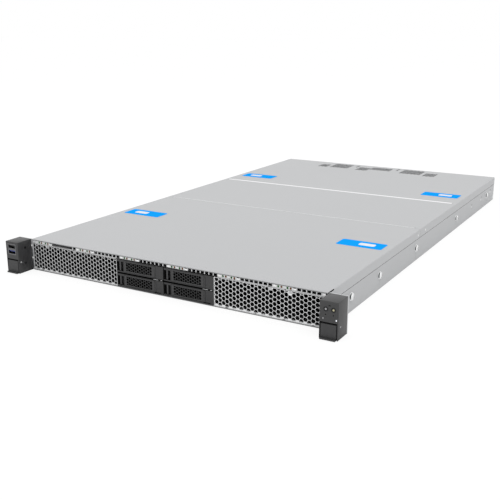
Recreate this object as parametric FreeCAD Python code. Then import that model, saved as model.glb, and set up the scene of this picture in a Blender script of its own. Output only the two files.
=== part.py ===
import FreeCAD, Part
import math
import os

V = FreeCAD.Vector

# A rack server one unit high, in millimetres.
# X runs to the right, Y from the front face to the rear, Z up from the underside.
# The origin is the middle of the front face's bottom edge.

# Lengths by which a cutting body runs past a face, and by which joined bodies reach into each other
PAST = 1.0
OVERLAP = 1.0

# Envelope of the rack-mounted box: width over both ears, and how far an ear stands out from the chassis side
EAR_SPAN = 482.6
EAR_REACH = 22.3
CHASSIS_L = 767.0
CHASSIS_H = 43.0

# Sheet metal of the pan and the two covers
PAN_T = 1.2
COVER_T = 1.0
COVER_SIDE_GAP = 0.3
COVER_SEAT_GAP = 0.3
COVER_FLANGE_H = 12.2
COVER_SPLIT_Y = 314.0
COVER_SPLIT_GAP = 0.5
RIM_W = 6.0
RIM_START = 4.0
HEM_D = 2.5
HEM_GAP = 0.15
BEAD_Y = 499.0
BEAD_W = 4.0
BEAD_H = 0.4
BEAD_END = 11.0

# Vents in the rear cover: middle, width and length of each field, and their slots
VENT_FIELDS = (
    (-120.5, 19.0, 26.0), (-84.0, 44.0, 46.0), (-34.0, 22.0, 32.0),
    (2.0, 42.0, 26.0), (65.0, 44.0, 38.0), (104.5, 19.0, 25.0),
)
VENT_FROM_REAR = 30.0
VENT_SLOT_W = 3.8
VENT_SLOT_PITCH = 7.8

# Drive bays: six columns of two, of which the middle four hold carriers
BAY_COLUMNS = 6
BAY_SIDE = 1.68
BAY_ROW_PITCH = 18.5
BAY_BASE_Z = 1.9
BEZEL_H = 16.6
BEZEL_SIDE_GAP = 0.62
BEZEL_Y = 0.3
BEZEL_D = 12.0
BEZEL_WALL = 0.9

# Drive, two and a half inch size, and the rails that hold it
DRIVE_SIDE = 1.295
DRIVE_L = 100.45
DRIVE_H = 15.0
DRIVE_BEHIND_BEZEL = 1.0
DRIVE_EDGE = 0.8
RAIL_T = 0.6
RAIL_H = 11.0
RAIL_PAST_DRIVE = 4.0

# Carrier lever, with its hinge pin at its right end
LEVER_LEFT = 11.4
LEVER_HINGE_INSET = 13.24
LEVER_T = 2.4
LEVER_GAP = 0.35
LEVER_PIN_R = 0.6
PIN_CLEARANCE = 0.05
PIN_SIDES = 6
LEVER_CAM_W = 1.8
LEVER_CAM_L = 3.4
LEVER_HOLES = 5
LEVER_HOLE_ROW = 5.8
LEVER_HOLE_FLATS = 4.8
LEVER_HOLE_START = 17.2
LEVER_HOLE_END = 10.8

# Release bar in the finger recess at the carrier's left end
RECESS_LEFT = 1.8
RECESS_RIGHT = 10.2
RECESS_FOOT = 1.5
RECESS_HEAD = 2.8
RECESS_D = 8.7
BAR_LEFT = 3.6
BAR_W = 2.2
BAR_GAP = 0.35
BAR_BACK_GAP = 0.3
BAR_SETBACK = 1.0

# Drive cage
CAGE_T = 0.8
CAGE_DIVIDER_T = 0.6
CAGE_CLEARANCE = 0.3
CAGE_FRONT = 14.0

# Perforated blanks over the eight empty bays
BLANK_T = 1.0
BLANK_FLANGE = 9.0
BLANK_GAP = 0.3
HEX_COLUMNS = 8
HEX_ROWS = 3
HEX_PITCH = 9.6
HEX_WEB = 1.6
HEX_FOOT = 2.2
HEX_EDGE = 0.2

# Strip above the bays, with vents, light pipes and the pull-out tag
STRIP_T = 1.0
STRIP_GAP = 0.2
PIPE_W = 30.0
PIPE_H = 2.8
PIPE_RISE = 0.25
PIPE_D = 3.6
PIPE_OFFSET = 20.66
STRIP_BAR = 2.9
STRIP_SIDE = 1.94
STRIP_HOLES = 5
STRIP_FIT = 0.15
TAG_W = 29.6
TAG_T = 1.4
TAG_L = 62.0
TAG_GAP = 1.16
TAG_PROUD = 0.6

# Rack ears
EAR_D = 24.5
EAR_INNER = 0.5
EAR_WALL = 1.4
EAR_BACK_T = 2.0
EAR_LEVER_TOP = 19.4
EAR_LEVER_GAP = 0.5
EAR_PLATE_T = 3.0
EAR_PIN_R = 1.0
EAR_PIN_Y = -17.5
EAR_PIN_Z = 14.1
EAR_LEVER_HEAD = 3.2
EAR_LEVER_CREST = 0.4
EAR_LEVER_EASE = 1.6
EAR_HOOK_Y = -4.0
EAR_HOOK_T = 3.0
EAR_HOOK_DROP = 5.5
EAR_ARM_H = 5.6
EAR_LIP_OUT = 3.0
EAR_LIP_T = 1.7
EAR_LIP_BASE = 0.3
BRACKET_T = 1.6
BRACKET_TAB_L = 18.0
BRACKET_TAB_Z0 = 3.0
BRACKET_TAB_Z1 = 29.0
EAR_SCREW_R = 2.6
EAR_SCREW_H = 1.1
EAR_SCREW_Y = 10.0
EAR_SCREW_PITCH = 14.0

# Buttons and small openings on the right ear
BUTTON_Z = 34.0
BUTTON_R = 2.25
BUTTON_CLEARANCE = 0.07
BUTTON_L = 6.0
BUTTON_CHAMFER = 0.45
BUTTON_TRAVEL = 1.2
POWER_INSET = 5.6
IDENT_INSET = 14.4

# USB receptacles, front and rear
USB_W = 13.1
USB_H = 5.7
USB_SHELL_T = 0.35
USB_BACK_T = 0.7
USB_D = 14.0
USB_TONGUE_W = 11.0
USB_TONGUE_T = 1.8
USB_TONGUE_L = 12.0
USB_TONGUE_RISE = 0.3
USB_FIT = 0.1
USB_FRONT_INSET = 10.9
USB_FRONT_Z = (29.1, 36.6)

# Rail studs on the side walls, the last one measured from the rear
STUD_Y = (64.0, 155.0, 298.0, 504.0)
STUD_FROM_REAR = 58.0
STUD_Z = 19.0
STUD_HEAD_R = 4.3
STUD_HEAD_T = 1.6
STUD_NECK_R = 2.6
STUD_NECK_L = 1.6

# Drive backplane and its connectors
BACKPLANE_T = 1.6
BACKPLANE_SIDE = 8.0
BACKPLANE_TOP = 36.8
CONNECTOR_W = 44.0
CONNECTOR_H = 6.0
CONNECTOR_L = 8.0
CONNECTOR_GAP = 0.4

# Fans, forty millimetre axial
FAN_COUNT = 6
FAN_SIDE = 12.5
FAN_SIZE = 40.0
FAN_DEPTH = 28.0
FAN_Y = 222.0
FAN_BORE_R = 18.6
FAN_HUB_R = 9.0
FAN_TIP_R = 17.0
FAN_BLADES = 5
FAN_SIDES = 12
FAN_BLADE_T = 1.1
BLADE_ROOT_PITCH = 58.0
BLADE_TIP_PITCH = 32.0
FAN_CHORD = 11.0
FAN_STATOR_T = 3.0
FAN_STRUT_W = 2.6
FAN_SHAFT_R = 1.5
FAN_RUNNING_GAP = 0.5
FAN_NOSE = 3.0

# Cross brace under the joint of the covers
BRACE_W = 22.0
BRACE_H = 5.0
BRACE_T = 1.2

# Main board, standoffs, heat sinks and memory
BOARD_Z = 5.0
BOARD_T = 1.6
BOARD_Y = 288.0
BOARD_SIDE = 3.5
BOARD_REAR_GAP = 2.0
BOARD_STEP_GAP = 3.0
STANDOFF_R = 3.2
STANDOFF_X = 70.5
STANDOFF_SIDE = 9.5
STANDOFF_FRONT = 12.0
STANDOFF_STEP = 18.6
STANDOFF_REAR = 27.0
MEMORY_Y = 332.0
MEMORY_L = 142.0
MEMORY_SLOTS = 4
MEMORY_PITCH = 13.0
MEMORY_SLOT_W = 6.4
MEMORY_SLOT_H = 6.5
MEMORY_TOWER_H = 13.0
MEMORY_TOWER_L = 5.0
MODULE_T = 3.0
MODULE_H = 25.0
MODULE_END_GAP = 0.4
MEMORY_INNER_X = 39.0
MEMORY_SIDE = 34.5
SINK_SIDE_GAP = 8.8
SINK_L = 108.0
SINK_BASE = 4.0
SINK_H = 27.0
SINK_FINS = 14
SINK_FIN_T = 1.0
SOCKET_INSET = 9.0
SOCKET_H = 5.5

# Power supplies, each held between a partition and a guide on the side wall
PSU_W = 73.5
PSU_H = 39.0
PSU_L = 185.0
PSU_SIDE = 4.0
PSU_GAP = 0.3
GUIDE_H = 10.0
GUIDE_Z = 6.0
PSU_FAN_X = 15.0
PSU_FAN_BORE_R = 17.6
PSU_FAN_TIP_R = 16.2
PSU_FAN_HUB_R = 8.0
PSU_FAN_D = 16.0
PSU_FAN_SETBACK = 3.0
PSU_FAN_CHORD = 8.8
PSU_GUARD_T = 1.2
PSU_GUARD_R = 12.5
PSU_GUARD_W = 1.6
INLET_X = -19.0
INLET_Z = 20.5
INLET_W = 24.5
INLET_H = 17.0
INLET_D = 17.0
INLET_CORNER = 4.0
INLET_BLADE_W = 2.0
INLET_BLADE_H = 4.0
INLET_BLADE_L = 13.0
INLET_BLADE_X = 7.0
INLET_BLADE_SHIFT = 1.5
HANDLE_W = 32.0
HANDLE_OUT = 24.0
HANDLE_T = 4.0
HANDLE_H = 9.0
HANDLE_CORNER = 8.0
LATCH_X = -33.8
LATCH_PIN_R = 1.2
LATCH_KNUCKLE_R = 2.1
LATCH_H = 18.0
LATCH_Z = 12.0
LATCH_OUT = 15.0
LATCH_T = 2.0
LATCH_TIP_W = 4.0
LATCH_LUG_T = 2.4
LATCH_GAP = 0.3
LATCH_END_GAP = 0.3

# Rear wall, slot covers and ports
REAR_T = 1.2
PARTITION_T = 0.8
PARTITION_GAP = 0.4
SLOT_COUNT = 3
SLOT_SIDE = 2.8
SLOT_BETWEEN = 16.0
SLOT_OPEN_H = 13.0
SLOT_OPEN_Z = 23.6
SLOT_COVER_LAP = 2.5
SLOT_COVER_T = 0.9
SLOT_VENTS = 3
SLOT_VENT_H = 5.0
SLOT_VENT_END = 3.25
SLOT_VENT_BAR = 4.5
PORT_FIT = 0.3
JACK_X = (-52.0, -32.0, -12.0)
JACK_W = 15.9
JACK_H = 13.4
JACK_L = 21.0
JACK_OPEN_W = 11.9
JACK_OPEN_H = 8.6
JACK_OPEN_D = 13.0
JACK_BASE = 1.8
REAR_USB_X = (12.0, 30.0)
REAR_USB_BASE = 2.0
VIDEO_X = -96.0
VIDEO_W = 31.0
VIDEO_H = 12.5
VIDEO_L = 16.0
VIDEO_SHELL_W = 17.0
VIDEO_SHELL_H = 8.4
VIDEO_TAPER = 1.5
VIDEO_SHELL_OUT = 5.5
NETWORK_START = 54.0
NETWORK_SIDE = 8.6
NETWORK_H = 12.0
NETWORK_LAP = 1.0

# Places and widths that follow from the sizes above
CHASSIS_W = EAR_SPAN - 2 * EAR_REACH
PAN_HALF = CHASSIS_W / 2 - COVER_T - COVER_SIDE_GAP
PAN_IN = PAN_HALF - PAN_T
BAY_PITCH = (CHASSIS_W - 2 * BAY_SIDE) / BAY_COLUMNS
DRIVE_W = BAY_PITCH - 2 * DRIVE_SIDE
LEVER_HINGE = BAY_PITCH - LEVER_HINGE_INSET
LEVER_HOLE_PITCH = (LEVER_HINGE - LEVER_HOLE_START - LEVER_HOLE_END) / (LEVER_HOLES - 1)
STRIP_HOLE_PITCH = (BAY_PITCH - PIPE_W - STRIP_SIDE) / STRIP_HOLES
STRIP_HOLE = STRIP_HOLE_PITCH - STRIP_BAR
TAG_X = PIPE_OFFSET + PIPE_W / 2 + TAG_GAP + TAG_W / 2 - BAY_COLUMNS * BAY_PITCH / 2
STUD_PLACES = STUD_Y + (CHASSIS_L - STUD_FROM_REAR,)
FAN_PITCH = 2 * (PAN_IN - FAN_SIDE) / FAN_COUNT
LID_Z = CHASSIS_H - COVER_T
RIM_Z = LID_Z - COVER_SEAT_GAP
FLANGE_Z = CHASSIS_H - COVER_FLANGE_H
ROWS = (BAY_BASE_Z, BAY_BASE_Z + BAY_ROW_PITCH)
BAY_TOP = ROWS[1] + BEZEL_H
CAGE_TOP_Z = BAY_TOP + CAGE_CLEARANCE
SHELF_Z = BAY_BASE_Z + (BEZEL_H + BAY_ROW_PITCH - CAGE_T) / 2
BEZEL_BACK = BEZEL_Y + BEZEL_D
DRIVE_Y = BEZEL_BACK + DRIVE_BEHIND_BEZEL
DRIVE_END = DRIVE_Y + DRIVE_L
BACKPLANE_Y = DRIVE_END + CONNECTOR_GAP + CONNECTOR_L
STRIP_Z0 = CAGE_TOP_Z + STRIP_GAP
STRIP_Z1 = RIM_Z
STRIP_MID = (STRIP_Z0 + STRIP_Z1) / 2 + PIPE_RISE
EAR_X0 = CHASSIS_W / 2 + EAR_INNER
EAR_X1 = EAR_SPAN / 2
POWER_X = EAR_X1 - POWER_INSET
IDENT_X = EAR_X1 - IDENT_INSET
USB_FRONT_X = USB_FRONT_INSET - EAR_X1
HINGE_Y = BEZEL_Y + LEVER_T / 2
PSU_X = PAN_IN - PSU_SIDE - PSU_W / 2
PSU_Y = CHASSIS_L - PSU_L
PARTITION_X = PSU_X - PSU_W / 2 - PARTITION_GAP
BOARD_STEP = PSU_Y - BOARD_STEP_GAP - PARTITION_GAP
MEMORY_OUTER_X = PAN_IN - MEMORY_SIDE
MEMORY_BANK_W = (MEMORY_SLOTS - 1) * MEMORY_PITCH + MEMORY_SLOT_W
SINK_X = (MEMORY_INNER_X + MEMORY_OUTER_X) / 2
SINK_W = MEMORY_OUTER_X - MEMORY_INNER_X - MEMORY_BANK_W - 2 * SINK_SIDE_GAP
SLOT_PITCH = 2 * (PARTITION_X - PARTITION_T - SLOT_SIDE) / SLOT_COUNT
SLOT_OPEN_W = SLOT_PITCH - SLOT_BETWEEN
SLOT_VENT_PITCH = (SLOT_OPEN_W - 2 * SLOT_VENT_END) / SLOT_VENTS
SLOT_VENT_W = SLOT_VENT_PITCH - SLOT_VENT_BAR
NETWORK_END = PARTITION_X - NETWORK_SIDE
PSU_FAN_Z = PAN_T + PSU_H / 2
LATCH_PIN_Y = CHASSIS_L + LATCH_GAP + LATCH_KNUCKLE_R
BOARD_TOP = BOARD_Z + BOARD_T
FAN_ROTOR_END = FAN_Y + FAN_DEPTH - FAN_STATOR_T - FAN_RUNNING_GAP


def box(x0, x1, y0, y1, z0, z1):
    return Part.makeBox(x1 - x0, y1 - y0, z1 - z0, V(x0, y0, z0))


def rod(radius, start, along):
    along = V(*along)
    return Part.makeCylinder(radius, along.Length, V(*start), along)


def faceted_rod(radius, start, along, sides):
    # A prism with the given number of sides, whose corners lie on the radius.
    along = V(*along)
    turns = [2 * math.pi * (k + 0.5) / sides for k in range(sides)]
    corners = [V(radius * math.cos(t), radius * math.sin(t), 0) for t in turns]
    face = Part.Face(Part.makePolygon(corners + corners[:1]))
    solid = face.extrude(V(0, 0, along.Length))
    solid.Placement = FreeCAD.Placement(V(*start), FreeCAD.Rotation(V(0, 0, 1), along))
    return solid


def faceted_hole(radius, start, along, sides):
    # The same, with the radius touching the middle of each side, so that a rod of that radius fits in it.
    return faceted_rod(radius / math.cos(math.pi / sides), start, along, sides)


def prism(points, along):
    wire = Part.makePolygon([V(*point) for point in points + points[:1]])
    return Part.Face(wire).extrude(V(*along))


def fuse(first, *others):
    return first.multiFuse(list(others)).removeSplitter()


def cut(first, *others):
    return first.cut(Part.makeCompound(list(others)))


def group(solids):
    return Part.makeCompound(list(solids))


def hex_wire(x, y, z, flats):
    # A hexagon in the XZ plane, flat at its top and bottom.
    radius = flats / math.sqrt(3)
    turns = [math.radians(60 * step) for step in range(7)]
    return Part.makePolygon([V(x + radius * math.cos(t), y, z + radius * math.sin(t)) for t in turns])


def rectangle_wire(x0, x1, y, z0, z1):
    return Part.makePolygon([V(x0, y, z0), V(x1, y, z0), V(x1, y, z1), V(x0, y, z1), V(x0, y, z0)])


def pierced_plate(outline, holes, thickness):
    # One face with all its holes, thickened towards the rear.
    face = Part.makeFace([outline] + holes, "Part::FaceMakerBullseye")
    return face.extrude(V(0, thickness, 0))


def chassis_pan():
    # Folded tray: floor, side walls and inward rims, with a hem under the bays, guides beside the power
    # supplies and hexagonal standoffs for the board.
    rim_in = PAN_IN - RIM_W
    rim_low = RIM_Z - PAN_T
    right = [(PAN_HALF, 0, 0), (PAN_HALF, 0, RIM_Z), (rim_in, 0, RIM_Z), (rim_in, 0, rim_low),
             (PAN_IN, 0, rim_low), (PAN_IN, 0, PAN_T)]
    left = [(-x, y, z) for x, y, z in reversed(right)]
    tray = prism(right + left, (0, CHASSIS_L, 0))
    tray = cut(tray, box(-PAN_IN, PAN_IN, -PAST, RIM_START, PAN_T, RIM_Z + PAST))
    front = BOARD_Y + STANDOFF_FRONT
    middle = BOARD_STEP - STANDOFF_STEP
    half_posts = [(x, y) for x in (STANDOFF_X, PAN_IN - STANDOFF_SIDE) for y in (front, middle)]
    half_posts.append((STANDOFF_X, CHASSIS_L - STANDOFF_REAR))
    flats = STANDOFF_R * math.sqrt(3)
    extras = [box(-PAN_IN - OVERLAP / 2, PAN_IN + OVERLAP / 2, 0, HEM_D, PAN_T / 2, BAY_BASE_Z - HEM_GAP)]
    for side in (-1, 1):
        a = side * (PAN_IN + OVERLAP / 2)
        b = side * (PAN_IN - PSU_SIDE + PSU_GAP)
        extras.append(box(min(a, b), max(a, b), PSU_Y, CHASSIS_L - REAR_T, GUIDE_Z, GUIDE_Z + GUIDE_H))
    for x, y in [(side * x, y) for side in (-1, 1) for x, y in half_posts]:
        ring = hex_wire(0, 0, 0, flats)
        ring.rotate(V(0, 0, 0), V(1, 0, 0), 90)
        ring.translate(V(x, y, PAN_T))
        extras.append(Part.Face(ring).extrude(V(0, 0, BOARD_Z - PAN_T)))
    return fuse(tray, *extras)


def cover_shell(y0, y1):
    half = CHASSIS_W / 2
    right = [(half, y0, FLANGE_Z), (half, y0, CHASSIS_H)]
    inner = [(half - COVER_T, y0, LID_Z), (half - COVER_T, y0, FLANGE_Z)]
    left = [(-x, y, z) for x, y, z in reversed(right)]
    inner_left = [(-x, y, z) for x, y, z in reversed(inner)]
    return prism(right + left + inner_left + inner, (0, y1 - y0, 0))


def front_cover():
    return cover_shell(0, COVER_SPLIT_Y - COVER_SPLIT_GAP / 2)


def rear_cover():
    shell = cover_shell(COVER_SPLIT_Y + COVER_SPLIT_GAP / 2, CHASSIS_L)
    reach = CHASSIS_W / 2 - BEAD_END
    bead = box(-reach, reach, BEAD_Y - BEAD_W / 2, BEAD_Y + BEAD_W / 2,
               LID_Z + COVER_T / 2, CHASSIS_H + BEAD_H)
    slots = []
    for x, width, length in VENT_FIELDS:
        count = int(length / VENT_SLOT_PITCH)
        first = CHASSIS_L - VENT_FROM_REAR - VENT_SLOT_PITCH * (count - 1) / 2
        for k in range(count):
            y = first + k * VENT_SLOT_PITCH
            slots.append(box(x - width / 2, x + width / 2, y - VENT_SLOT_W / 2, y + VENT_SLOT_W / 2,
                             LID_Z - PAST, CHASSIS_H + PAST))
    return cut(fuse(shell, bead), *slots)


def cross_brace():
    # Hat-section beam between the side walls, on which both covers end.
    y0 = COVER_SPLIT_Y - BRACE_W / 2
    y1 = COVER_SPLIT_Y + BRACE_W / 2
    outer = box(-PAN_IN + RIM_W, PAN_IN - RIM_W, y0, y1, LID_Z - BRACE_H, LID_Z)
    hollow = box(-PAN_IN, PAN_IN, y0 + BRACE_T, y1 - BRACE_T, LID_Z - BRACE_H - PAST, LID_Z - BRACE_T)
    return cut(outer, hollow)


def drive_cage():
    # Top sheet, shelf between the rows and upright dividers, behind the bezels.
    side = PAN_IN - CAGE_CLEARANCE
    end = BACKPLANE_Y - CONNECTOR_GAP
    top = box(-side, side, STRIP_T, end, CAGE_TOP_Z, CAGE_TOP_Z + CAGE_T)
    shelf = box(-side, side, CAGE_FRONT, end, SHELF_Z, SHELF_Z + CAGE_T)
    pieces = [shelf]
    for x in (-side + CAGE_T / 2, -BAY_PITCH, 0, BAY_PITCH, side - CAGE_T / 2):
        half = CAGE_DIVIDER_T / 2
        pieces.append(box(x - half, x + half, CAGE_FRONT, end, PAN_T, CAGE_TOP_Z + CAGE_T / 2))
    return fuse(top, *pieces)


def blank_panel(x0, x1):
    # Perforated sheet over one column of two empty bays, with a flange at top and bottom.
    z0 = BAY_BASE_Z
    z1 = BAY_TOP
    spacing = BAY_PITCH / HEX_COLUMNS
    flats = HEX_PITCH - HEX_WEB
    holes = []
    for column in range(HEX_COLUMNS):
        x = (x0 + x1) / 2 + (column - (HEX_COLUMNS - 1) / 2) * spacing
        if min(x - x0, x1 - x) < flats / math.sqrt(3) + HEX_EDGE:
            continue
        for row in range(HEX_ROWS):
            z = z0 + HEX_FOOT + flats / 2 + (row + (column % 2) / 2) * HEX_PITCH
            if z + flats / 2 + HEX_EDGE < z1 - BLANK_T:
                holes.append(hex_wire(x, 0, z, flats))
    sheet = pierced_plate(rectangle_wire(x0, x1, 0, z0, z1), holes, BLANK_T)
    low = box(x0, x1, BLANK_T / 2, BLANK_FLANGE, z0, z0 + BLANK_T)
    high = box(x0, x1, BLANK_T / 2, BLANK_FLANGE, z1 - BLANK_T, z1)
    return fuse(sheet, low, high)


def blank_pair(side):
    inner = BAY_PITCH + BLANK_GAP
    middle = 2 * BAY_PITCH
    outer = PAN_IN - BLANK_GAP
    spans = [(inner, middle - BLANK_GAP / 2), (middle + BLANK_GAP / 2, outer)]
    if side < 0:
        spans = [(-b, -a) for a, b in spans]
    return group(blank_panel(a, b) for a, b in spans)


def pipe_centres():
    # One light pipe for each column of bays.
    return [(k - BAY_COLUMNS / 2) * BAY_PITCH + PIPE_OFFSET for k in range(BAY_COLUMNS)]


def vent_strip():
    # Strip between the bays and the cover, with square vents between the light pipes.
    centres = pipe_centres()
    side = PAN_IN - BLANK_GAP
    half_w = PIPE_W / 2 + STRIP_FIT
    half_h = PIPE_H / 2 + STRIP_FIT
    low = STRIP_MID - half_h
    high = STRIP_MID + half_h
    holes = [rectangle_wire(x - half_w, x + half_w, 0, low, high) for x in centres]
    for number, x in enumerate(centres):
        if number == 0:
            continue
        start = x + PIPE_W / 2 + (BAY_PITCH - PIPE_W - STRIP_HOLE_PITCH * (STRIP_HOLES - 1)) / 2
        for k in range(STRIP_HOLES):
            place = start + k * STRIP_HOLE_PITCH
            if place + STRIP_HOLE > side:
                continue
            holes.append(rectangle_wire(place - STRIP_HOLE / 2, place + STRIP_HOLE / 2, 0, low, high))
    tag_x0 = TAG_X - TAG_W / 2 - STRIP_FIT
    tag_x1 = TAG_X + TAG_W / 2 + STRIP_FIT
    tag_z = tag_base() - STRIP_FIT
    holes.append(rectangle_wire(tag_x0, tag_x1, 0, tag_z, tag_z + TAG_T + 2 * STRIP_FIT))
    return pierced_plate(rectangle_wire(-side, side, 0, STRIP_Z0, STRIP_Z1), holes, STRIP_T)


def light_pipes():
    low = STRIP_MID - PIPE_H / 2
    high = STRIP_MID + PIPE_H / 2
    return group(box(x - PIPE_W / 2, x + PIPE_W / 2, 0, PIPE_D, low, high) for x in pipe_centres())


def tag_base():
    return CAGE_TOP_Z + CAGE_T + CAGE_CLEARANCE


def info_tag():
    # Plain card that pulls out of the strip.
    z0 = tag_base()
    return box(TAG_X - TAG_W / 2, TAG_X + TAG_W / 2, -TAG_PROUD, TAG_L, z0, z0 + TAG_T)


def carrier(x0, z0):
    # Bezel with a finger recess, an opening for the lever and two rails along the drive.
    left = x0 + BEZEL_SIDE_GAP
    right = x0 + BAY_PITCH - BEZEL_SIDE_GAP
    top = z0 + BEZEL_H
    rim = (BEZEL_H - RAIL_H) / 2
    bezel = box(left, right, BEZEL_Y, BEZEL_BACK, z0, top)
    recess = box(x0 + RECESS_LEFT, x0 + RECESS_RIGHT, BEZEL_Y - PAST, BEZEL_Y + RECESS_D,
                 z0 + RECESS_FOOT, top - RECESS_HEAD)
    hinge_end = x0 + LEVER_HINGE + LEVER_T / 2 + LEVER_GAP
    opening = box(x0 + LEVER_LEFT - LEVER_GAP, hinge_end, BEZEL_Y - PAST, BEZEL_BACK + PAST,
                  z0 + BEZEL_WALL, top - BEZEL_WALL)
    bezel = cut(bezel, recess, opening)
    pin_foot = (x0 + LEVER_HINGE, HINGE_Y, z0 + BEZEL_WALL / 2)
    pin = faceted_rod(LEVER_PIN_R, pin_foot, (0, 0, BEZEL_H - BEZEL_WALL), PIN_SIDES)
    rails = []
    middle = x0 + BAY_PITCH / 2
    for side in (-1, 1):
        inner = middle + side * DRIVE_W / 2
        outer = inner + side * RAIL_T
        rails.append(box(min(inner, outer), max(inner, outer),
                         BEZEL_BACK - OVERLAP, DRIVE_END + RAIL_PAST_DRIVE, z0 + rim, top - rim))
    return fuse(bezel, pin, *rails)


def drive(x0, z0):
    # Closed drive case, with the step of its lid.
    x = x0 + (BAY_PITCH - DRIVE_W) / 2
    z = z0 + (BEZEL_H - DRIVE_H) / 2
    case = box(x, x + DRIVE_W, DRIVE_Y, DRIVE_END, z, z + DRIVE_H - DRIVE_EDGE)
    lid = box(x + DRIVE_EDGE, x + DRIVE_W - DRIVE_EDGE, DRIVE_Y + DRIVE_EDGE, DRIVE_END - DRIVE_EDGE,
              z + DRIVE_H / 2, z + DRIVE_H)
    return fuse(case, lid)


def carrier_lever(x0, z0):
    # Perforated lever whose round end turns on the bezel's pin.
    low = z0 + BEZEL_WALL + LEVER_GAP
    high = z0 + BEZEL_H - BEZEL_WALL - LEVER_GAP
    hinge_x = x0 + LEVER_HINGE
    middle = (low + high) / 2
    holes = []
    for k in range(LEVER_HOLES):
        x = x0 + LEVER_HOLE_START + k * LEVER_HOLE_PITCH
        shift = LEVER_HOLE_ROW / 4 if k % 2 else -LEVER_HOLE_ROW / 4
        for side in (-1, 1):
            holes.append(hex_wire(x, BEZEL_Y, middle + shift + side * LEVER_HOLE_ROW / 2, LEVER_HOLE_FLATS))
    outline = rectangle_wire(x0 + LEVER_LEFT, hinge_x, BEZEL_Y, low, high)
    plate = pierced_plate(outline, holes, LEVER_T)
    end = faceted_rod(LEVER_T / 2, (hinge_x, HINGE_Y, low), (0, 0, high - low), 2 * PIN_SIDES)
    cam_x = hinge_x - LEVER_T / 2
    cam = box(cam_x, cam_x + LEVER_CAM_W, HINGE_Y, HINGE_Y + LEVER_CAM_L, low, high)
    hole = faceted_hole(LEVER_PIN_R + PIN_CLEARANCE, (hinge_x, HINGE_Y, low - PAST),
                        (0, 0, high - low + 2 * PAST), PIN_SIDES)
    return cut(fuse(plate, end, cam), hole)


def release_bar(x0, z0):
    x = x0 + BAR_LEFT
    low = z0 + RECESS_FOOT + BAR_GAP
    high = z0 + BEZEL_H - RECESS_HEAD - BAR_GAP
    return box(x, x + BAR_W, BEZEL_Y + BAR_SETBACK, BEZEL_Y + RECESS_D - BAR_BACK_GAP, low, high)


def lever_cavity():
    # Space for the ear's lever, open to the front and below.
    return box(EAR_X0 + EAR_WALL, EAR_X1 - EAR_WALL, -EAR_D - PAST, -EAR_BACK_T, -PAST, EAR_LEVER_TOP)


def ear_block():
    return cut(box(EAR_X0, EAR_X1, -EAR_D, 0, 0, CHASSIS_H), lever_cavity(), ear_pin_hole())


def ear_pin_hole():
    start = (EAR_X0, EAR_PIN_Y, EAR_PIN_Z)
    return faceted_hole(EAR_PIN_R + PIN_CLEARANCE, start, (EAR_X1 - EAR_X0, 0, 0), PIN_SIDES)


def mirrored(shape):
    return shape.mirror(V(0, 0, 0), V(1, 0, 0))


def ear_housing_right():
    # Control ear, with a well for each button, deep enough for twice its travel.
    depth = PAST + BUTTON_L + 2 * BUTTON_TRAVEL
    wells = [rod(BUTTON_R + BUTTON_CLEARANCE, (x, -EAR_D - PAST, BUTTON_Z), (0, depth, 0))
             for x in (POWER_X, IDENT_X)]
    return cut(ear_block(), *wells)


def ear_button(x):
    # Bevelled button that slides in its well.
    stem = rod(BUTTON_R, (x, -EAR_D, BUTTON_Z), (0, BUTTON_L, 0))
    rim = [e for e in stem.Edges if abs(e.BoundBox.YMax + EAR_D) < 0.01 and e.BoundBox.YLength < 0.01]
    return stem.makeChamfer(BUTTON_CHAMFER, rim)


def ear_housing_left():
    block = mirrored(ear_block())
    pockets = []
    for z in USB_FRONT_Z:
        w = USB_W / 2 + USB_FIT
        h = USB_H / 2 + USB_FIT
        pockets.append(box(USB_FRONT_X - w, USB_FRONT_X + w, -EAR_D - PAST, -EAR_D + USB_D, z - h, z + h))
    return cut(block, *pockets)


def usb_port(x, mouth, z, inward):
    # Shell with a closed back and a contact tongue; inward is +1 or -1 along Y from the mouth.
    back = mouth + inward * USB_D
    shell = box(x - USB_W / 2, x + USB_W / 2, min(mouth, back), max(mouth, back),
                z - USB_H / 2, z + USB_H / 2)
    reach = back - inward * USB_BACK_T
    outside = mouth - inward * PAST
    hollow = box(x - USB_W / 2 + USB_SHELL_T, x + USB_W / 2 - USB_SHELL_T,
                 min(outside, reach), max(outside, reach),
                 z - USB_H / 2 + USB_SHELL_T, z + USB_H / 2 - USB_SHELL_T)
    tip = reach - inward * USB_TONGUE_L
    tongue = box(x - USB_TONGUE_W / 2, x + USB_TONGUE_W / 2, min(tip, back), max(tip, back),
                 z + USB_TONGUE_RISE, z + USB_TONGUE_RISE + USB_TONGUE_T)
    return fuse(cut(shell, hollow), tongue)


def front_usb_ports():
    return group(usb_port(USB_FRONT_X, -EAR_D, z, 1) for z in USB_FRONT_Z)


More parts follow.
